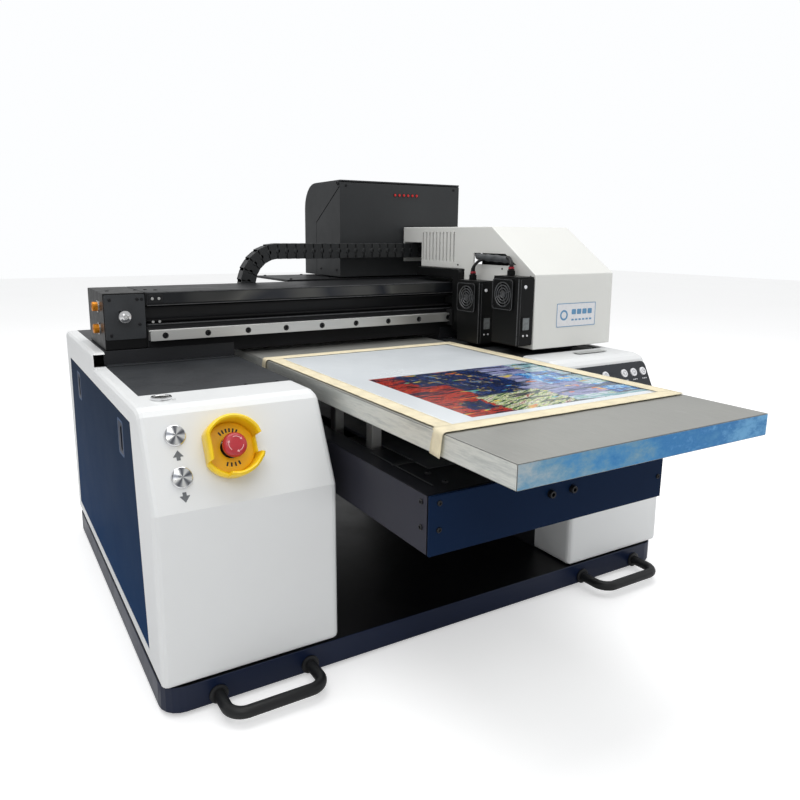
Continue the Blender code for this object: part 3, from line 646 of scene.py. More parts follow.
FINISH = {
    NAVY_TRAY: ("base_tray",),
    NAVY: ("housing_front_plate",),
    BLUE: ("side_panel_*",),
    WHITE: ("pod_cover_*",),
    WARM_WHITE: ("carriage_cover",),
    HOUSING: ("lift_housing",),
    SHADE: ("uv_lamp_*", "carriage_frame", "beam_end_*"),
    DECK: ("deck_panel_*",),
    RISER: ("pod_frame_*",),
    GREY: ("ink_cabinet", "cabinet_lid", "print_head"),
    TANK: ("ink_tank_rack",),
    STEEL: ("x_rail", "lift_guide_*", "*_screw_left", "*_screw_right", "y_screw"),
    TABLE: ("table_plate",),
    ALU: ("table_saddle", "lift_arm_*"),
    CHROME: ("*_pulley",),
    PAINTED_GLINT_CHROME: ("power_button",),
    RUBBER_AND_SHADE_STRIP: ("foot_*", "x_belt"),
    GLOSS: ("control_strip",),
    PLASTIC: ("estop_collar", "cap_station"),
    FAN: ("fan_*",),
    WHITE_KEY: ("panel_button_*",),
    BLACK: ("*",),
}
EDGE_WIDTHS = {
    0.3: ("x_rail",),
    0.5: ("deck_panel_*", "gantry_beam"),
    0.6: ("housing_front_plate", "side_panel_*", "pod_frame_*", "table_plate", "table_saddle",
          "lift_housing", "beam_end_*", "cabinet_shelf", "x_motor", "control_strip", "uv_lamp_*"),
    0.8: ("ink_cabinet", "cabinet_lid", "carriage_frame", "lift_arm_*", "cap_station", "print_head"),
    1.2: ("base_tray",),
    1.5: ("ink_tank_rack",),
}


def pick(table, label):
    """The first key of a table that has a pattern for a node's name."""
    for key, patterns in table.items():
        if any(fnmatch(label, pattern) for pattern in patterns):
            return key
    return None


for label, node in frame["nodes"].items():
    node.data.materials.clear()
    node.data.materials.append(pick(FINISH, label).mat)
    width = pick(EDGE_WIDTHS, label)
    if width:
        weld = node.modifiers.new("weld", "WELD")
        weld.merge_threshold = 0.01 * MM
        soften(node, width)

# ---------------------------------------------------------------- places that several pieces share

left_lo, left_hi = box_of("pod_cover_left")
right_lo, right_hi = box_of("pod_cover_right")
beam_lo, beam_hi = box_of("gantry_beam")
end_lo, end_hi = box_of("beam_end_left")
cab_lo, cab_hi = box_of("ink_cabinet")
house_lo, house_hi = box_of("lift_housing")
table_lo, table_hi = box_of("table_plate")
sheet_lo, sheet_hi = box_of("media_sheet")
POD_TOP = left_lo.z + 285.6
twist = {joint["name"]: joint for joint in frame["joints"]}["stop_twist"]
SLOPE_OUT = Vector(twist["axis"]).normalized()
stop_at = frame_at((Vector(twist["pos_m"]) - HOME) / MM, SLOPE_OUT, RIGHT)

# ---------------------------------------------------------------- base: handles, panels and decks


def handle(side):
    """A bent bar, with a moulded rim where each end enters the tray."""
    lo, hi = box_of(f"handle_{side}")
    r = (hi.z - lo.z) / 2
    z = (hi.z + lo.z) / 2
    x0, x1 = lo.x + r, hi.x - r
    y0, y1 = hi.y, lo.y + r
    bend, straight = 18, 8
    path = [(x0, y0), (x0, y0 - straight)] + arc(x0 + bend, y1 + bend, bend, 180, 270, 10)
    path += [((x0 + x1) / 2, y1)] + arc(x1 - bend, y1 + bend, bend, 270, 360, 10)
    path += [(x1, y0 - straight), (x1, y0)]
    piece(f"handle_bar_{side}", tube([(x, y, z) for x, y in path], r, 24), PLASTIC, "base",
          stands_for=(f"handle_{side}",), slot="black_paint")
    rim = lathe([(10.5, 0.1), (10.5, 2.2), (9, 3.2), (6.6, 3.2)], 28)
    tray_front = box_of("base_tray")[0].y
    rims = [placed(rim, frame_at((x, tray_front, z), FRONT)) for x in (x0, x1)]
    piece(f"handle_rims_{side}", rims, PLASTIC, "base")


def finger_pull(side, number, along):
    """A flush pull in a side panel: bezel, well and cup around one grip slot."""
    lo, hi = box_of(f"side_panel_{side}")
    x, out = (lo.x, LEFT) if side == "left" else (hi.x, RIGHT)
    at = frame_at((x, lo.y + along, hi.z - 30), out, BACK)
    body = f"panel_{side}"
    deep = -0.6
    slot = rounded((-7.2, -1), both(13), 2.5)
    bezel = ring(rounded(both(15), both(21), 4), rounded(both(12.5), both(18.5), 3), deep, 0.03)
    piece(f"pull_bezel_{side}_{number}", bezel, SLOT_EDGE, body, at)
    well = ring(rounded(both(12.4), both(18.4), 3), slot, deep, 0.02)
    piece(f"pull_well_{side}_{number}", well, NAVY, body, at)
    cup = ring(rounded((-8.5, 0.4), both(14.5), 3), slot, deep, 0.03)
    piece(f"pull_cup_{side}_{number}", cup, RUBBER_AND_SHADE_STRIP, body, at)


def decks():
    """Screws of the deck panels and of the rear walls, and the lip on the left riser."""
    l_lo, l_hi = box_of("deck_panel_left")
    r_lo, r_hi = box_of("deck_panel_right")
    spots = spots_at((l_lo.x + 40, l_hi.x - 12), l_hi.y - 9, l_hi.z, UP)
    spots += spots_at((l_hi.x - 60, l_hi.x - 20), l_lo.y + 7, l_hi.z, UP)
    spots += spots_at((r_lo.x + 12, r_hi.x - 10), (r_lo.y + 7, r_hi.y - 8), r_hi.z, UP)
    screws("deck_screws", "base", spots, 2.2, 1)
    lo, hi = box_of("pod_frame_left")
    lip_y = lo.y + 245
    lip = block((lo.x + 2, hi.x - 4), (lip_y, lip_y + 13), (l_hi.z + 0.2, l_hi.z + 1.6))
    piece("riser_lip", lip, DECK, "base", bevel=0.3)
    levels = (60, 180, 300)
    spots = spots_at((left_lo.x + 14, left_hi.x - 14), left_hi.y, levels, BACK)
    spots += spots_at((right_lo.x + 14, right_hi.x - 14), right_hi.y, levels, BACK)
    screws("rear_wall_screws", "base", spots, 2.6, 1.6)


def rear_wall_fittings():
    """Vent slots behind the left pod, and the mains inlet with its switch behind the right one."""
    mark = slab(both(38), both(1.6), 1.5, 0.05, 0.6, 3)
    x = left_lo.x + 102
    marks = [placed(mark, frame_at((x, left_hi.y, 120 + 9 * row), BACK, LEFT)) for row in range(9)]
    piece("rear_vent_marks", marks, RUBBER_AND_SHADE_STRIP, "base")
    at = frame_at((right_lo.x + 93, right_hi.y, 95), BACK, LEFT)
    inlet = ring(rounded(both(24), both(16), 3), rounded(both(13), both(8.5), 2), 0.1, 3)
    piece("power_inlet", inlet, PLASTIC, "base", at, bevel=0.5)
    piece("mains_switch", slab((27, 41), both(10.5), 1.5, 0.1, 3.4), RUBBER_AND_SHADE_STRIP, "base", at, bevel=0.8)
    pin = block(both(1), both(2.6), (0.2, 2.4))
    pins = [moved(pin, x, y) for x, y in ((-6, 1.5), (6, 1.5), (0, -3))]
    piece("inlet_pins", pins, ZINC, "base", at)


for side in ("left", "right"):
    handle(side)
for side in ("left", "right"):
    for number, along in enumerate((86, 402)):
        finger_pull(side, number, along)
decks()
rear_wall_fittings()

# ---------------------------------------------------------------- keys and the emergency stop


def key_frame(node):
    """Frame on the sloping face under a key: Z out of the face, X to the right, Y up the slope."""
    lo, hi = box_of(node)
    mid = (lo + hi) / 2
    mid -= SLOPE_OUT * (mid - stop_at.translation).dot(SLOPE_OUT)
    return frame_at(mid, SLOPE_OUT, RIGHT)


def lift_key(label, point, middle):
    """A turned cap in a chrome bezel, and an arrow under it that points up (1) or down (-1)."""
    at = key_frame(f"{label}_button")
    cap = lathe([(10.1, -5), (10.1, 2.6), (9.5, 3.5), (7, 3.9), (3, 4.4), (0.4, 4.6)], 48)
    piece(f"{label}_cap", cap, PAINTED_GLINT_CHROME, f"key_{label}", at, stands_for=(f"{label}_button",), slot="chrome")
    bezel = lathe([(9.35, -3), (11.3, -3), (11.3, 1), (10.8, 2), (10.1, 2.4), (9.35, 2),
                   (9.35, -2.9)], 48)
    piece(f"{label}_bezel", bezel, CHROME, "base", at)
    tip, neck, tail = middle + 5.2 * point, middle - 1.6 * point, middle - 5.2 * point
    arrow = [(0, tip), (5.4, neck), (2, neck), (2, tail), (-2, tail), (-2, neck), (-5.4, neck)]
    piece(f"{label}_arrow_mark", extrude(arrow, 0.02, 0.22), GREY_MARK, "base", at, smooth=False)


def power_key():
    """Bezel of the power key on the pod's flat top, and three dashes in front of it."""
    lo, hi = box_of("power_button")
    x = (lo.x + hi.x) / 2
    bezel = lathe([(8.7, -1), (11.2, -1), (11.2, 0.8), (10.4, 1.8), (8.7, 1.4), (8.7, -0.9)], 40)
    piece("power_bezel", bezel, CHROME, "base", frame_at((x, (lo.y + hi.y) / 2, POD_TOP), UP))
    dashes = [block((-8 + 6 * i, -4 + 6 * i), both(0.6), (0.02, 0.1)) for i in range(3)]
    piece("power_marks", dashes, INK_MARK, "base", frame_at((x + 4, lo.y - 6, POD_TOP), UP))


RIM_R, RIM_FLAT, RIM_WALL, RIM_TOP = 32.8, 28.6, 5, 25
RIM_END, RIM_START = 338, 17


def rim_radius(t):
    """The guard is round with a flat on its left and on its right."""
    return min(RIM_R, RIM_FLAT / max(abs(cos(t)), 0.01))


def guard_section(t, top, flare):
    ro = rim_radius(t) + flare
    ri = ro - RIM_WALL
    low = 3
    return [(ro - 2.2, 0.6), (ro - 0.4, low), (ro, top * 0.6), (ro - 0.3, top - 3), (ro - 1.3, top - 0.8),
            (ro - 2.7, top), (ri + 0.8, top - 0.9), (ri, top - 3.2), (ri - 0.2, top * 0.6),
            (ri - 0.6, low + 1), (ri - 0.6, 0.6)]


def guard_wall():
    """One closed wall: full height, a wide mouth on the right and a lower one at the bottom left."""
    stretches = [(RIM_START, 206, RIM_TOP), (206, 252, 14), (252, RIM_END, RIM_TOP),
                 (RIM_END, 360 + RIM_START, 9.5)]
    verts, rings = [], 0
    for a0, a1, top in stretches:
        steps = max(8, int((a1 - a0) / 4))
        for k in range(steps + 1):
            a = a0 + (a1 - a0) * k / steps
            inset = 0.35 if k == 0 else (-0.35 if k == steps else 0)
            near = min(abs(a - RIM_START), abs(a - RIM_END))
            horn = max(0, 1 - near / 12) if top == RIM_TOP else 0
            t = radians(a + inset)
            section = guard_section(t, top, 2 * horn)
            verts += [(r * cos(t), r * sin(t), h) for r, h in section]
            rings += 1
    n = len(section)
    closing = [((rings - 1) * n + i, (rings - 1) * n + (i + 1) % n, (i + 1) % n, i) for i in range(n)]
    return verts, side_faces(rings, n) + closing


def stop_dish():
    """Turned dish with a hole, closed from its last ring back to its first."""
    profile = [(27, 0.5), (27.2, 3.6), (26.2, 4.8), (23.8, 5.2), (11.8, 5.2), (11.3, 4.6), (11.3, 0.5)]
    seg = 56
    last = (len(profile) - 1) * seg
    verts = lathe(profile, seg)[0]
    closing = [(last + i, last + (i + 1) % seg, (i + 1) % seg, i) for i in range(seg)]
    return verts, side_faces(len(profile), seg) + closing


def twist_arrow(start):
    """A curved arrow on the mushroom head, from one angle on."""
    low, top = 23.7, 24.32
    outer, inner = (arc(0, 0, r, start, start + 66, 8) for r in (8.2, 7.5))
    shaft = extrude(outer + inner[::-1], low, top)
    tip, back = radians(start - 14), radians(start + 4)
    corners = [(r * cos(t), r * sin(t)) for r, t in ((7.9, tip), (9.3, back), (6.4, back))]
    return [shaft, extrude(corners, low, top + 0.02)]


def emergency_stop():
    """Guard, marked dish, and the mushroom head with its three arrows."""
    piece("estop_guard_wall", guard_wall(), YELLOW, "base", stop_at, stands_for=("estop_guard",),
          slot="yellow_plastic", angle=48)
    piece("estop_dish", stop_dish(), AMBER, "base", stop_at, slot="yellow_plastic")
    stroke = moved(slab(both(0.9), both(2.2), 0.4, 5.25, 5.35, 2), 0, 18.2)
    marks = [spun(stroke, a - 90) for a in (62, 74, 86, 98, 110, 122, 248, 262, 276, 290)]
    piece("estop_ring_marks", marks, INK_MARK, "base", stop_at)
    head = [(9.2, 14.2), (11.4, 14.7), (12.7, 16.6), (13, 18.8), (12.6, 21), (11.2, 22.9), (8.8, 23.9),
            (5, 24.2), (1, 24.3)]
    piece("estop_mushroom", lathe(head, 48), RED, "stop_head", stop_at, stands_for=("estop_head",),
          slot="red_plastic")
    arrows = [shape for k in range(3) for shape in twist_arrow(120 * k + 40)]
    piece("estop_arrows", arrows, PINK_MARK, "stop_head", stop_at)


def panel_key(number):
    """A small clock icon on a key of the right pod, and three dashes above the key."""
    at = key_frame(f"panel_button_{number}")
    top = (4.65, 4.8)
    hand = spun(block(both(0.3), (0, 2.4), top), 90 * (number - 1))
    clock = ring(circle(3.3), circle(2.7), *top)
    piece(f"key_icon_{number}", [clock, hand], GREY_MARK, f"key_{number}", at)
    bars = [block((-5 + 3.4 * k, -2.8 + 3.4 * k), (-11.6, -10.2), (3.35, 3.5)) for k in range(3)]
    piece(f"key_label_{number}", bars, MARK, "base", at)


lift_key("up", 1, -20.5)
lift_key("down", -1, -20)
power_key()
emergency_stop()
strip_lo = box_of("control_strip")[0]
label_at = frame_at((strip_lo.x + 94, strip_lo.y + 70, POD_TOP), UP, RIGHT)
piece("right_pod_label", slab(both(30), both(7.5), 1.5, 0.02, 0.25, 3), LABEL_GREY, "base", label_at)
for number in range(1, 5):
    panel_key(number)

# ---------------------------------------------------------------- gantry


def beam_front():
    """Dark window with painted reflections, light edge lines painted as highlights, the clip, and two dark
    strips: one under the beam's front that stands in for shade, and one behind the beam that blocks light so
    that the space under it is darker.
    """
    band = (beam_lo.x + 2, beam_hi.x - 2)
    face = facing_front(beam_lo.y)
    window = slab(band, (beam_hi.z - 16, beam_hi.z - 2.2), 1, 0.1, 1.4, 2)
    piece("beam_window", window, WINDOW, "base", face, bevel=0.3)
    # Painted highlights: light lines along edges of the beam's front.
    lines = [block(band, (beam_lo.y - 0.7, beam_lo.y + 0.3), (z - 0.55, z + 0.55))
             for z in (beam_hi.z - 18.2, beam_hi.z - 0.8, beam_hi.z - 44.6)]
    piece("beam_edge_highlight_lines", lines, WIRE_AND_EDGE_HIGHLIGHT, "base", bevel=0.15)
    z = beam_hi.z - 9
    clip = slab((beam_lo.x + 4, beam_lo.x + 24), (z - 5.5, z + 5.5), 1, 1.4, 2.6, 2)
    piece("window_clip", clip, BLACK, "base", face, bevel=0.3)
    columns = (beam_lo.x + 9, beam_lo.x + 18)
    spots = spots_at(columns, beam_lo.y - 2.6, z, FRONT)
    spots += spots_at(columns, beam_lo.y, beam_hi.z - 41, FRONT)
    screws("window_screws", "base", spots, 2.1, 1, ZINC)
    # Painted shade: a dark strip under the beam's front, and a dark strip behind the beam that blocks light.
    front = block(band, (beam_lo.y - 0.3, beam_lo.y + 0.9), (beam_lo.z - 11.5, beam_lo.z + 9.6))
    rear = block((house_lo.x - 14, house_hi.x + 13), (beam_hi.y - 4.4, beam_hi.y - 2.9),
                 (beam_lo.z - 14, beam_lo.z + 5))
    piece("beam_shade_strips", [front, rear], RUBBER_AND_SHADE_STRIP, "base", bevel=0.3)


def rail_fasteners():
    """Ten screws in the guide rail, each in a dark ring that stands in for the shade in its counterbore."""
    lo, hi = box_of("x_rail")
    columns = tuple(lo.x + 20 + 60 * n for n in range(10))
    z = (lo.z + hi.z) / 2
    screws("rail_screws", "base", spots_at(columns, lo.y + 2.6, z, FRONT), 3.2, 1.4)
    # Painted shade: a dark ring around each screw.
    rim = ring(circle(4.3), circle(3), 0.02, 0.14)
    rims = [placed(rim, frame_at((x, lo.y, z), FRONT)) for x in columns]
    piece("rail_hole_shade_rings", rims, BLACK, "base")


def beam_left_end():
    """Top screws, belt adjusters, and the front plate around the idler pulley."""
    places = ((14, 16), (52, 16), (66, 15), (78, 26))
    mid_y = (end_lo.y + end_hi.y) / 2
    spots = [((end_lo.x + dx, mid_y - dy, end_hi.z), UP) for dx, dy in places]
    screws("beam_top_screws", "base", spots, 2.8, 0.8)
    ends = [frame_at((end_lo.x, end_lo.y + 40, z), LEFT) for z in (end_hi.z - 20, end_lo.z + 26)]
    knob = lathe([(6.5, 0), (6.5, 7.5), (5.6, 8.4), (3, 8.4), (3, 5)], 24)
    piece("belt_adjusters", [placed(knob, at) for at in ends], ORANGE, "base")
    washer = lathe([(8.6, 0), (8.6, 1.3), (7.6, 1.3)], 24)
    piece("adjuster_washers", [placed(washer, at) for at in ends], ZINC, "base")
    hub_x, hub_z = end_lo.x + 25, (end_lo.z + end_hi.z) / 2 + 7.8
    edge = rounded((end_lo.x + 1, end_hi.x - 1), (end_lo.z + 14, end_hi.z - 2), 2)
    turns = [atan2(z - hub_z, x - hub_x) for x, z in edge]
    hole = [(hub_x + 8.6 * cos(t), hub_z + 8.6 * sin(t)) for t in turns]
    piece("beam_end_plate", ring(edge, hole, 0.1, 2.2), DECK, "base", facing_front(end_lo.y), bevel=0.4)
    places = ((8, 20), (8, 68), (44, 68), (50, 68), (46, 34))
    spots = [((end_lo.x + dx, end_lo.y - 2.2, end_lo.z + dz), FRONT) for dx, dz in places]
    screws("end_plate_screws", "base", spots, 2.2, 1)
    at = frame_at((hub_x, box_of("idler_pulley")[0].y, hub_z), FRONT)
    socket = lathe([(3, -0.6), (3, 0.25), (2.5, 0.35), (1.5, 0.35), (1.5, -0.4)], 6)
    piece("idler_socket", socket, ZINC, "idler", at, smooth=False)
    tooth = block((7.5, 8.2), both(0.35), (-9.4, -5.6))
    teeth = 28
    knurl = [spun(tooth, 360 * k / teeth) for k in range(teeth)]
    piece("idler_knurl", knurl, CHROME, "idler", at)


def motor_back():
    """Ring and screws on the back of the belt motor."""
    lo, hi = box_of("x_motor")
    x, z = (lo.x + hi.x) / 2, (lo.z + hi.z) / 2
    disc = lathe([(15, 0.1), (15, 1.2), (13, 1.8), (5, 1.8), (5, 0.6)], 32)
    piece("motor_back_ring", disc, ZINC, "base", frame_at((x, hi.y, z), BACK))
    spots = spots_at((x - 15.5, x + 15.5), hi.y, (z - 15.5, z + 15.5), BACK)
    screws("motor_screws", "base", spots, 2.2, 1.4)


beam_front()
rail_fasteners()
beam_left_end()
motor_back()

# ---------------------------------------------------------------- drag chain

loop_lo, loop_hi = box_of("chain_loop")
lower_lo, lower_hi = box_of("chain_lower_run")
CHAIN_H = lower_hi.z - lower_lo.z
CHAIN_W = loop_hi.y - loop_lo.y
CHAIN_Y = (loop_lo.y + loop_hi.y) / 2
BEND_Z = (loop_lo.z + loop_hi.z) / 2
BEND_R = (loop_hi.z - loop_lo.z - CHAIN_H) / 2
BEND_X = loop_lo.x + BEND_R + CHAIN_H / 2
PITCH = 16.5
BEND_LINKS = 11


def link_shape():
    """One chain link along X: two overlapping cheeks, lids above and below, and two snap tabs."""
    h, w = CHAIN_H / 2, CHAIN_W / 2
    upright = facing_front(0)
    cheek = arc(5.6, 0, h - 0.6, -70, 70, 6) + [(-4, h), (-10.4, h), (-11.8, h - 3)]
    cheek += [(-9.6, 0), (-11.8, -h + 3), (-10.4, -h), (-4, -h)]
    boss = lathe([(4.2, 0), (4.2, 0.5), (3.4, 0.9), (1.6, 0.9)], 16)
    shapes = []
    for s in (-1, 1):
        shapes.append(placed(extrude(cheek, s * (w - 3), s * (w - 0.9)), upright))
        plate = slab((-9.6, 2.4), both(h - 0.4), 2.2, s * (w - 1.6), s * (w - 0.1), 3)
        shapes.append(placed(plate, upright))
        shapes.append(placed(boss, frame_at((6.2, s * (w - 1), 0), (0, s, 0))))
    for z in (-h + 0.2, h - 2.6):
        shapes.append(block((-9.4, 5), both(w - 1.4), (z, z + 2.4)))
    for y in (-w + 3.4, w - 7.4):
        shapes.append(block((-7, -1), (y, y + 4), (h - 0.6, h - 0.02)))
    return joined(shapes)


def straight_run(link, x0, x1, z):
    """Whole links side by side between two places along the beam."""
    count = int((x1 - x0) / PITCH)
    step = (x1 - x0) / count
    return [moved(link, x0 + step * (i + 0.5), CHAIN_Y, z) for i in range(count)]


def drag_chain():
    """Upper run and bend, which ride on the chain's body, and lower run between base and bend."""
    link = link_shape()
    make = {"bevel": 0.3, "slot": "black_plastic", "angle": 40}
    upper = straight_run(link, BEND_X, loop_hi.x, loop_hi.z - CHAIN_H / 2)
    run = piece("chain_upper_links", upper, CHAIN, "chain", stands_for=("chain_loop",), **make)
    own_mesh(run)
    centre = Matrix.Translation((BEND_X, CHAIN_Y, BEND_Z))
    bend = []
    for i in range(BEND_LINKS):
        turn = Matrix.Rotation(-pi * (i + 0.5) / BEND_LINKS, 4, "Y")
        bend.append(placed(link, centre @ turn @ raised(BEND_R)))
    piece("chain_bend_links", bend, CHAIN, "chain", **make)
    lower = straight_run(link, lower_lo.x, lower_hi.x, (lower_lo.z + lower_hi.z) / 2)
    run = piece("chain_lower_links", lower, CHAIN, None, stands_for=("chain_lower_run",), **make)
    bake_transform(run)


drag_chain()

# ---------------------------------------------------------------- ink cabinet and shelf


def status_lamp(number):
    """One lamp of the row on the cabinet's front, in a collar, with two dashes under it."""
    x = cab_lo.x + 115.5 + 9.6 * (number - 1)
    at = frame_at((x, cab_lo.y, cab_hi.z - 19.5), FRONT)
    dome = lathe([(2.5, 0), (2.5, 0.8), (1.9, 1.9), (0.6, 2.4)], 18)
    piece(f"status_lamp_{number}", dome, LED, "base", at)
    piece(f"status_collar_{number}", ring(circle(3.4, 18), circle(2.6, 18), 0.05, 0.7), PLASTIC, "base", at)
    dashes = [block(both(2.4), (y, y + 0.9), (0.03, 0.12)) for y in (-8.2, -10.2)]
    piece(f"status_mark_{number}", dashes, INK_MARK, "base", at)


def cabinet_fittings():
    """Screws of the lid, the cabinet and its shelf, and the coloured caps of the ink tanks."""
    lo, hi = box_of("cabinet_lid")
    y, z = cab_lo.y + 8, cab_hi.z - 1
    screws("lid_pivot_screws", "lid", [((lo.x, y, z), LEFT), ((hi.x, y, z), RIGHT)], 4.2, 2.2)
    spots = spots_at((lo.x + 12, lo.x + 250), cab_lo.y, cab_hi.z - 6, FRONT)
    screws("cabinet_front_screws", "base", spots, 2.2, 1.2)
    rows = (cab_lo.y + 14, cab_lo.y + 80)
    z = cab_lo.z + 12
    spots = spots_at(cab_lo.x, rows, z, LEFT) + spots_at(cab_hi.x, rows, z, RIGHT)
    screws("cabinet_side_screws", "base", spots, 2.4, 1.2)
    lo, hi = box_of("ink_tank_rack")
    inks = [(0.02, 0.02, 0.02), (0, 0.25, 0.55), (0.55, 0.01, 0.2), (0.75, 0.6, 0.02), (0.8, 0.8, 0.8),
            (0.5, 0.5, 0.5)]
    cap = lathe([(9, 0.1), (9, 7), (8, 8.4), (3, 8.8)], 24)
    for i, rgb in enumerate(inks):
        name = f"tank_cap_{i + 1}"
        net = look(name, rgb, 0.35, vary=0.15, patch=60, grain=1200)
        piece(name, cap, net, "base", frame_at((lo.x + 21.5 + 40.5 * i, (lo.y + hi.y) / 2, hi.z), UP))
    lo, hi = box_of("cabinet_shelf")
    spots = spots_at((lo.x + 12, lo.x + 88), (lo.y + 12, lo.y + 136), hi.z, UP)
    screws("shelf_screws", "base", spots, 2.6, 1.6)


for number in range(1, 7):
    status_lamp(number)
cabinet_fittings()

# ---------------------------------------------------------------- lift housing


def housing_walls():
    """Screws in the front plate and in both sides of the housing."""
    lo, hi = box_of("housing_front_plate")
    spots = spots_at((lo.x + 11, hi.x - 8), lo.y, (lo.z + 26, hi.z - 8), FRONT)
    screws("front_plate_screws", "lift", spots, 2.8, 1.4)
    mid_x = (lo.x + hi.x) / 2
    screws("front_cap_screws", "lift", spots_at((mid_x - 12, mid_x + 19), lo.y, hi.z - 25, FRONT), 4.4, 4.6)
    levels = (house_lo.z + 26, house_hi.z - 9)
    spots = []
    for y in (house_lo.y + 10, house_hi.y - 14):
        spots += spots_at(house_lo.x, y, levels, LEFT) + spots_at(house_hi.x, y, levels, RIGHT)
    screws("housing_side_screws", "lift", spots, 2.8, 1.6)


def housing_top():
    """Cover plate, raised lines, tabs and screws on the housing, and the two rails in it under the table."""
    x0, x1, y0 = house_lo.x, house_hi.x, house_lo.y
    top = raised(house_hi.z)
    cover = slab((x0 + 44, x1 - 44), (y0 + 62, house_hi.y - 12), 2, 0.1, 1.4, 2)
    piece("housing_top_cover", cover, DECK, "lift", top, bevel=0.4)
    lines = [block((x - 0.7, x + 0.7), (y0 + 20, y0 + 140), (house_hi.z + 0.05, house_hi.z + 0.9))
             for x in (x0 + 20, x1 - 20)]
    piece("housing_top_lines", lines, GREY, "lift", bevel=0.2)
    tabs = [slab((x - 16, x + 16), (y0 + 88, y0 + 94), 2.5, 0.1, 1.2, 3) for x in (x0 + 33, x1 - 33)]
    piece("housing_top_tabs", tabs, GREY, "lift", top, bevel=0.2)
    spots = spots_at((x0 + 36, x1 - 36), (y0 + 22, y0 + 52), house_hi.z, UP)
    screws("housing_top_screws", "lift", spots, 3.2, 1.8)
    rails = [block((x - 5.5, x + 5.5), (y0 + 160, house_hi.y - 12), (house_lo.z + 26, house_lo.z + 36))
             for x in (x0 + 36, x1 - 37)]
    piece("table_rails", rails, STEEL, "lift", bevel=0.5)


housing_walls()
housing_top()

# ---------------------------------------------------------------- printed sheet and tape

TAPE_WIDE = 20
TAPE_GAP = 0.35
TAPE_CELLS = 4


def sheet_verts(wide, long, sag):
    """Points of the sheet, which bows a little and drops towards its edges."""
    verts = []
    for j in range(long + 1):
        for i in range(wide + 1):
            x = sheet_lo.x + (sheet_hi.x - sheet_lo.x) * i / wide
            y = sheet_lo.y + (sheet_hi.y - sheet_lo.y) * j / long
            edge = min(i, wide - i, j, long - j)
            swell = sag * sin(x * 0.021 + y * 0.013) * min(1, edge / 4)
            verts.append((x, y, sheet_hi.z - sag + sag * min(1, edge / 3) * 0.6 + 0.3 * swell))
    return verts


def printed_sheet():
    wide, long = 30, 42
    shape = sheet_verts(wide, long, 0.35), sheet_faces(wide, long)
    edges = (sheet_lo.x + 38, sheet_hi.x - 2, sheet_lo.y + 22, sheet_lo.y + 226)
    art = [edge * MM for edge in edges]
    sheet = piece("sheet", shape, paper_print(*art), "table", stands_for=("media_sheet",), slot="paper",
                  angle=80)
    thicken(sheet, 0.3, -1)


def tape_strip(name, path, across):
    """A strip of tape along a path, with slightly ragged long edges and a light crinkle."""
    verts = []
    for p in path:
        for c in range(TAPE_CELLS + 1):
            side = (c / TAPE_CELLS - 0.5) * TAPE_WIDE
            at_edge = c in (0, TAPE_CELLS)
            rag = rng.uniform(-0.35, 0.35) if at_edge else 0
            lift = 0 if at_edge else rng.uniform(0, 0.14)
            verts.append(tuple(Vector(p) + Vector(across) * (side + rag) + UP * lift))
    shape = verts, sheet_faces(TAPE_CELLS, len(path) - 1)
    thicken(piece(name, shape, TAPE, "table", slot="paper", angle=80), 0.12, 0)


def line(a, b, gap=6):
    a, b = Vector(a), Vector(b)
    n = max(2, int((b - a).length / gap))
    return [a.lerp(b, i / n) for i in range(n + 1)]


def tapes():
    """Tape along both sides, and across both ends of the sheet and down over the table's left edge."""
    z = sheet_hi.z + TAPE_GAP
    x0, x1 = table_lo.x + 13.5, table_hi.x - 9
    y0, y1 = sheet_lo.y - 0.5, sheet_hi.y + 0.5
    past = 7
    for side, x in (("left", x0), ("right", x1)):
        tape_strip(f"tape_{side}", line((x, y0 - past, z), (x, y1 + past, z)), RIGHT)
    for end, y, drop in (("front", y0, 25), ("rear", y1, 20)):
        over = table_lo.x - 0.7
        path = line((x1 + past, y, z + 0.25), (table_lo.x + 2.5, y, z + 0.25))
        path += [(over + 1.2, y, z - 0.4), (over, y + 0.5, z - 2.2)]
        path += line((over - 0.2, y + 1, z - 5), (over - 0.6, y + 3.5, z - drop), 4)
        tape_strip(f"tape_{end}", path, (0.12, 1, 0))


printed_sheet()
tapes()

# ---------------------------------------------------------------- carriage


def cover_details():
    """A generic label on the cover's front, with a border, a ring and bars, and the cover's side screws."""
    lo, hi = box_of("carriage_cover")
    at = frame_at((lo.x + 86, lo.y + 0.95, lo.z + 49), (0, -1, 0.02), RIGHT)
    edge = rounded(both(41), both(18), 1.2, 3)
    top = 0.7
    piece("badge_plate", extrude(edge, 0.15, top), WHITE_KEY, "carriage", at, bevel=0.15)
    border = ring(edge, rounded(both(40), both(17), 1, 3), top, top + 0.15)
    piece("badge_border", border, SKY, "carriage", at)
    wheel_x = -26
    wheel = ring(circle(8, 32, wheel_x), circle(5.2, 32, wheel_x), top, top + 0.2)
    piece("badge_wheel", wheel, SKY, "carriage", at)
    bars = [slab((-10 + 11.4 * k, -1 + 11.4 * k), (0.5, 8.5), 1.2, top, top + 0.15, 2) for k in range(4)]
    bars += [block((-10 + 7.6 * k, -5 + 7.6 * k), (-9, -6.4), (top, top + 0.15)) for k in range(6)]
    piece("badge_bars", bars, SKY, "carriage", at)
    places = ((351, 108), (286, 117), (172, 119))
    spots = [((lo.x, hi.y - dy, lo.z + dz), LEFT) for dy, dz in places]
    screws("cover_side_screws", "carriage", spots, 1.6, 0.7)


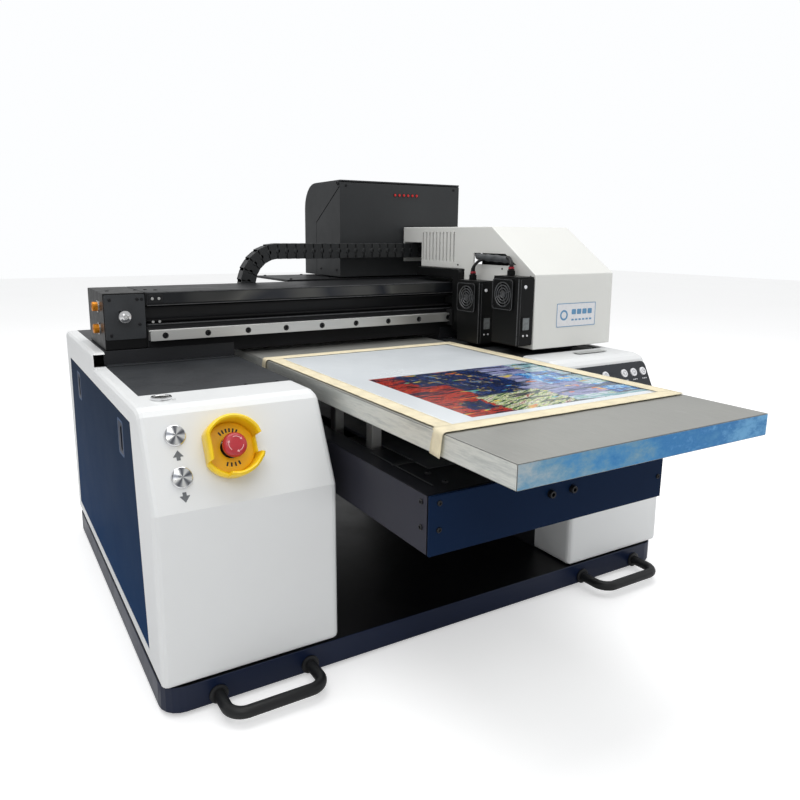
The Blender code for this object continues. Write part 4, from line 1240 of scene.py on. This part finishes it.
def carriage_bracket():
    """Rail wiper, bracket screws, and the nozzle plates under the print head."""
    lo, hi = box_of("carriage_frame")
    rail_lo, rail_hi = box_of("x_rail")
    z = (rail_lo.z + rail_hi.z) / 2
    front, gap, rear = rail_lo.y - 7.4, rail_lo.y - 0.4, rail_lo.y + 9
    low, high = (z - 13.4, z - 7.4), (z + 7.4, z + 13.4)
    wiper = [(front, low[0]), (rear, low[0]), (rear, low[1]), (gap, low[1]), (gap, high[0]),
             (rear, high[0]), (rear, high[1]), (front, high[1])]
    piece("rail_wiper", extrude(wiper, 0, 8), RUBBER_AND_SHADE_STRIP, "carriage", facing_right(lo.x - 3), bevel=0.5)
    spots = spots_at(lo.x + 5, (lo.y + 30, lo.y + 90), hi.z, UP)
    screws("bracket_screws", "carriage", spots, 2, 0.8)
    lo = box_of("print_head")[0]
    plates = [block((x, x + 10), (lo.y + 20, lo.y + 110), (lo.z - 0.5, lo.z + 0.4))
              for x in (lo.x + 20 + 16 * i for i in range(6))]
    piece("head_nozzle_plates", plates, STEEL, "carriage", bevel=0.2)


cover_details()
carriage_bracket()

# ---------------------------------------------------------------- curing lamps

LAMP_FACE = 0.8


def grille_shape(r):
    """Fan guard: four round wires, four spokes and a hub."""
    wires = []
    for k in range(4):
        path = [(x, y, 2) for x, y in circle(r * (0.28 + 0.24 * k), 40)]
        wires.append(tube(path + path[:1], 0.9, 6))
    for a in (20, 110, 200, 290):
        c, s = cos(radians(a)), sin(radians(a))
        wires.append(tube([(r * 0.28 * c, r * 0.28 * s, 1.5), (r * 1.06 * c, r * 1.06 * s, 1.2)], 0.8, 6))
    return wires + [lathe([(r * 0.2, 0.8), (r * 0.2, 2), (r * 0.14, 2.4)], 24)]


def fan_guard(label):
    """Wire guard and square frame around one lamp's fan, with a light line painted as a highlight on the
    frame's edge.
    """
    lo, hi = box_of(f"fan_{label}")
    x = box_of(f"uv_lamp_{label}")[0].x
    at = frame_at((x, (lo.y + hi.y) / 2, (lo.z + hi.z) / 2), LEFT, FRONT)
    piece(f"fan_grille_{label}", grille_shape(17.8), WIRE_AND_EDGE_HIGHLIGHT, "carriage", at)
    square, hole = [], circle(19.4, 64)
    for t in angles(64):
        c, s = cos(t), sin(t)
        reach = min(22.5 / max(abs(c), abs(s)), 29.2)
        square.append((reach * c, reach * s))
    piece(f"fan_frame_{label}", ring(square, hole, 0.1, 3), SHADE, "carriage", at, bevel=0.6)
    # Painted highlight: a light line along the frame's outer edge.
    edge = ring(rounded(both(22.6), both(22.6), 4.6, 5), rounded(both(21.6), both(21.6), 4, 5), 2.9, 3.3)
    piece(f"fan_frame_edge_highlight_{label}", edge, WIRE_AND_EDGE_HIGHLIGHT, "carriage", at)
    corner = lathe([(1.8, 3), (1.8, 3.6), (1.2, 3.8)], 14)
    corners = [moved(corner, x, y) for x in both(18.6) for y in both(18.6)]
    piece(f"fan_frame_screws_{label}", corners, BOLT, "carriage", at)


def lamp_front(label):
    """Front plate with light edge lines painted as highlights, sensor eye, display and two keys, and the lid
    of one lamp.
    """
    lo, hi = box_of(f"uv_lamp_{label}")
    mid, (w, d, h) = (lo + hi) / 2, (hi - lo) / 2
    at = frame_at((mid.x, lo.y, mid.z), FRONT, RIGHT)
    plate = slab((-w + 5.5, w - 1), both(h - 1.5), 1.5, 0.05, LAMP_FACE, 3)
    piece(f"lamp_front_plate_{label}", plate, SHADE, "carriage", at, bevel=0.3)
    # Painted highlights: light lines along the lamp's left front edges.
    lines = [block((-w - 0.05, -w + 0.9), both(h - 1), (-0.9, 0.1)),
             block((-w + 4.6, -w + 5.3), both(h - 2), (0.02, 0.5))]
    piece(f"lamp_edge_highlight_{label}", lines, WIRE_AND_EDGE_HIGHLIGHT, "carriage", at, bevel=0.2)
    eye = lathe([(2.7, LAMP_FACE), (2.7, 1.4), (2.2, 1.9), (1, 2.1)], 24)
    piece(f"lamp_eye_{label}", eye, WHITE_KEY, "carriage", at @ Matrix.Translation((-2.5, h - 13, 0)))
    screen_at = at @ Matrix.Translation((1, -h + 33, 0))
    screen = rounded(both(6.4), both(9), 0.8)
    bezel = ring(rounded(both(8), both(11), 1.5), screen, LAMP_FACE, 1.7)
    piece(f"lamp_display_frame_{label}", bezel, SHADE, "carriage", screen_at, bevel=0.2)
    glass = slab(both(6.4), both(9), 0.8, LAMP_FACE, 1.3, 2)
    piece(f"lamp_display_{label}", glass, LCD, "carriage", screen_at)
    key = lathe([(1.5, LAMP_FACE), (1.5, 1.5), (1, 1.9)], 18)
    keys = [moved(key, x, -h + 15.5) for x in (-3.4, 4.4)]
    piece(f"lamp_keys_{label}", keys, WHITE_KEY, "carriage", at)
    lid = slab(both(w - 0.4), both(d - 0.4), 1, 0, 1.4, 3)
    piece(f"lamp_top_{label}", lid, SHADE, "carriage", Matrix.Translation((mid.x, mid.y, hi.z)), bevel=0.5)


def lamp_cable(label, back, way):
    """A plug on a lamp with three wires along a way from the plug into the cover's mouth."""
    top = box_of(f"uv_lamp_{label}")[1]
    plug = Vector((top.x - 10, top.y - back, top.z + 1.2))
    at = Matrix.Translation(plug)
    socket = [slab(both(4.6), both(4.6), 1.4, 0, 8, 3), slab(both(3.6), both(3.6), 1, 8, 10.5, 3)]
    piece(f"lamp_plug_{label}", socket, SHADE, "carriage", at, bevel=0.5)
    clamp = [moved(block(both(1.6), both(2.4), (10, 13.5)), x) for x in both(2.2)]
    piece(f"lamp_plug_red_{label}", clamp, RED_PLUG, "carriage", at, bevel=0.5)
    for k, (dx, dy) in enumerate(((-2, 0), (2, 0.4), (0, 2))):
        path = [(dx, dy, 12), (dx, dy, 17)] + [(x + dx * 0.5, y + dy, z + dx * 0.4) for x, y, z in way]
        wire = tube(spline([plug + Vector(p) for p in path], 9), 1.9, 10)
        piece(f"lamp_cable_{label}_{k + 1}", wire, CABLE, "carriage")


def cable_mouth():
    """A dark plate inside the opening of the cover, standing in for the shade in it, and the ribbed sleeve
    that lies in it.
    """
    corner = box_of("uv_lamp_rear")[1]
    opening = [(5, 23), (5, 47), (-78, 47), (-105, 29), (-97, 23)]
    # Painted shade: a dark plate inside the cover's opening.
    shade_plate = extrude([(corner.y + y, corner.z + z) for y, z in opening], 0, 1.2)
    piece("cable_mouth_shade_plate", shade_plate, SHADE, "carriage", facing_right(corner.x + 21.4))
    way = [(5.4, -5, 39), (-1.1, -19, 37.5), (-2.6, -41, 37), (-2, -63, 36.5), (1.4, -83, 35),
           (7.4, -93, 34)]
    path = spline([corner + Vector(p) for p in way])
    ribbed = [5.4 + 0.5 * sin(k * 0.9) for k in range(len(path))]
    piece("cable_sleeve", tube(path, ribbed, 16), SLEEVE, "carriage")


for label in ("front", "rear"):
    fan_guard(label)
    lamp_front(label)
lamp_cable("front", 16, [(3.4, 7, 23.8), (8.4, 19, 26.3), (14.4, 33, 24.8), (21.4, 41, 24.8)])
lamp_cable("rear", 12, [(0.9, -3, 22.8), (3.4, -13, 31.3), (8.4, -27, 34.3), (17.4, -37, 34.8)])
cable_mouth()

# ---------------------------------------------------------------- room, light and camera

FLOOR_REACH = 8
FLOOR_GLOW = 0.5
ROOM_LIGHT, ROOM_SEEN = 0.56, 1


def staged(name, data):
    """An object of the room, which isn't part of the printer."""
    obj = bpy.data.objects.new(name, data)
    bpy.context.scene.collection.objects.link(obj)
    return obj


def floor():
    """Pale floor that glows for the camera only, so that it lights nothing."""
    mesh = bpy.data.meshes.new("studio_floor")
    corners = [(x, y, 0) for x, y in ((-1, -1), (1, -1), (1, 1), (-1, 1))]
    mesh.from_pydata([tuple(Vector(c) * FLOOR_REACH) for c in corners], [], [(0, 1, 2, 3)])
    net = look("studio_floor", (0.86, 0.86, 0.86), 0.7, vary=0.01, patch=1.5, grain=60, bump=0.01)
    net.link(net.tone, net.bsdf.inputs["Emission Color"])
    seen = net.add("ShaderNodeLightPath").outputs["Is Camera Ray"]
    net.link(net.math("MULTIPLY", seen, FLOOR_GLOW), net.bsdf.inputs["Emission Strength"])
    mesh.materials.append(net.mat)
    staged("studio_floor", mesh)


def backdrop():
    """Even pale surroundings, brighter for the camera than for the objects they light."""
    world = bpy.data.worlds.new("studio")
    bpy.context.scene.world = world
    world.use_nodes = True
    nodes, links = world.node_tree.nodes, world.node_tree.links
    surround = nodes["Background"]
    surround.inputs["Color"].default_value = (0.98, 0.99, 1, 1)
    ray = nodes.new("ShaderNodeLightPath")
    strength = nodes.new("ShaderNodeMapRange")
    strength.inputs["To Min"].default_value = ROOM_LIGHT
    strength.inputs["To Max"].default_value = ROOM_SEEN
    links.new(ray.outputs["Is Camera Ray"], strength.inputs["Value"])
    links.new(strength.outputs["Result"], surround.inputs["Strength"])


def area(name, at, target, size, power, tint=(1, 1, 1)):
    """A rectangular light at a place in metres, aimed at a target."""
    data = bpy.data.lights.new(name, "AREA")
    data.shape = "RECTANGLE"
    data.size, data.size_y = size
    data.energy = power
    data.color = tint
    lamp = staged(name, data)
    lamp.location = HOME + Vector(at)
    lamp.rotation_euler = (HOME + Vector(target) - lamp.location).to_track_quat("-Z", "Y").to_euler()


def camera():
    """Camera at the photograph's place, from its yaw, pitch and roll in degrees."""
    data = bpy.data.cameras.new("camera")
    data.sensor_width = 36
    data.lens = 31.54
    data.shift_x = 0.0369
    data.shift_y = -0.0295
    data.clip_start = 0.01
    yaw, pitch, roll = radians(30.02), radians(-11.37), radians(0.31)
    ahead = Vector((sin(yaw) * cos(pitch), cos(yaw) * cos(pitch), sin(pitch)))
    right = Vector((cos(yaw), -sin(yaw), 0))
    above = right.cross(ahead)
    tilted = right * cos(roll) + above * sin(roll)
    upright = above * cos(roll) - right * sin(roll)
    m = Matrix((tilted, upright, -ahead)).transposed().to_4x4()
    m.translation = HOME + Vector((-0.5138, -0.9451, 0.4948))
    obj = staged("camera", data)
    obj.matrix_world = m
    bpy.context.scene.camera = obj


floor()
backdrop()
area("key", (-0.9, -1.7, 2), (0, -0.1, 0.25), (1.6, 1.2), 12)
area("fill", (1.8, -1.2, 1.3), (0.1, -0.1, 0.3), (1.4, 1.4), 4, (0.95, 0.98, 1))
area("top", (0, 0.2, 2.3), (0, 0, 0.3), (2.4, 1.8), 34)
camera()
bpy.context.scene.view_settings.view_transform = "Standard"

bpy.context.view_layer.update()
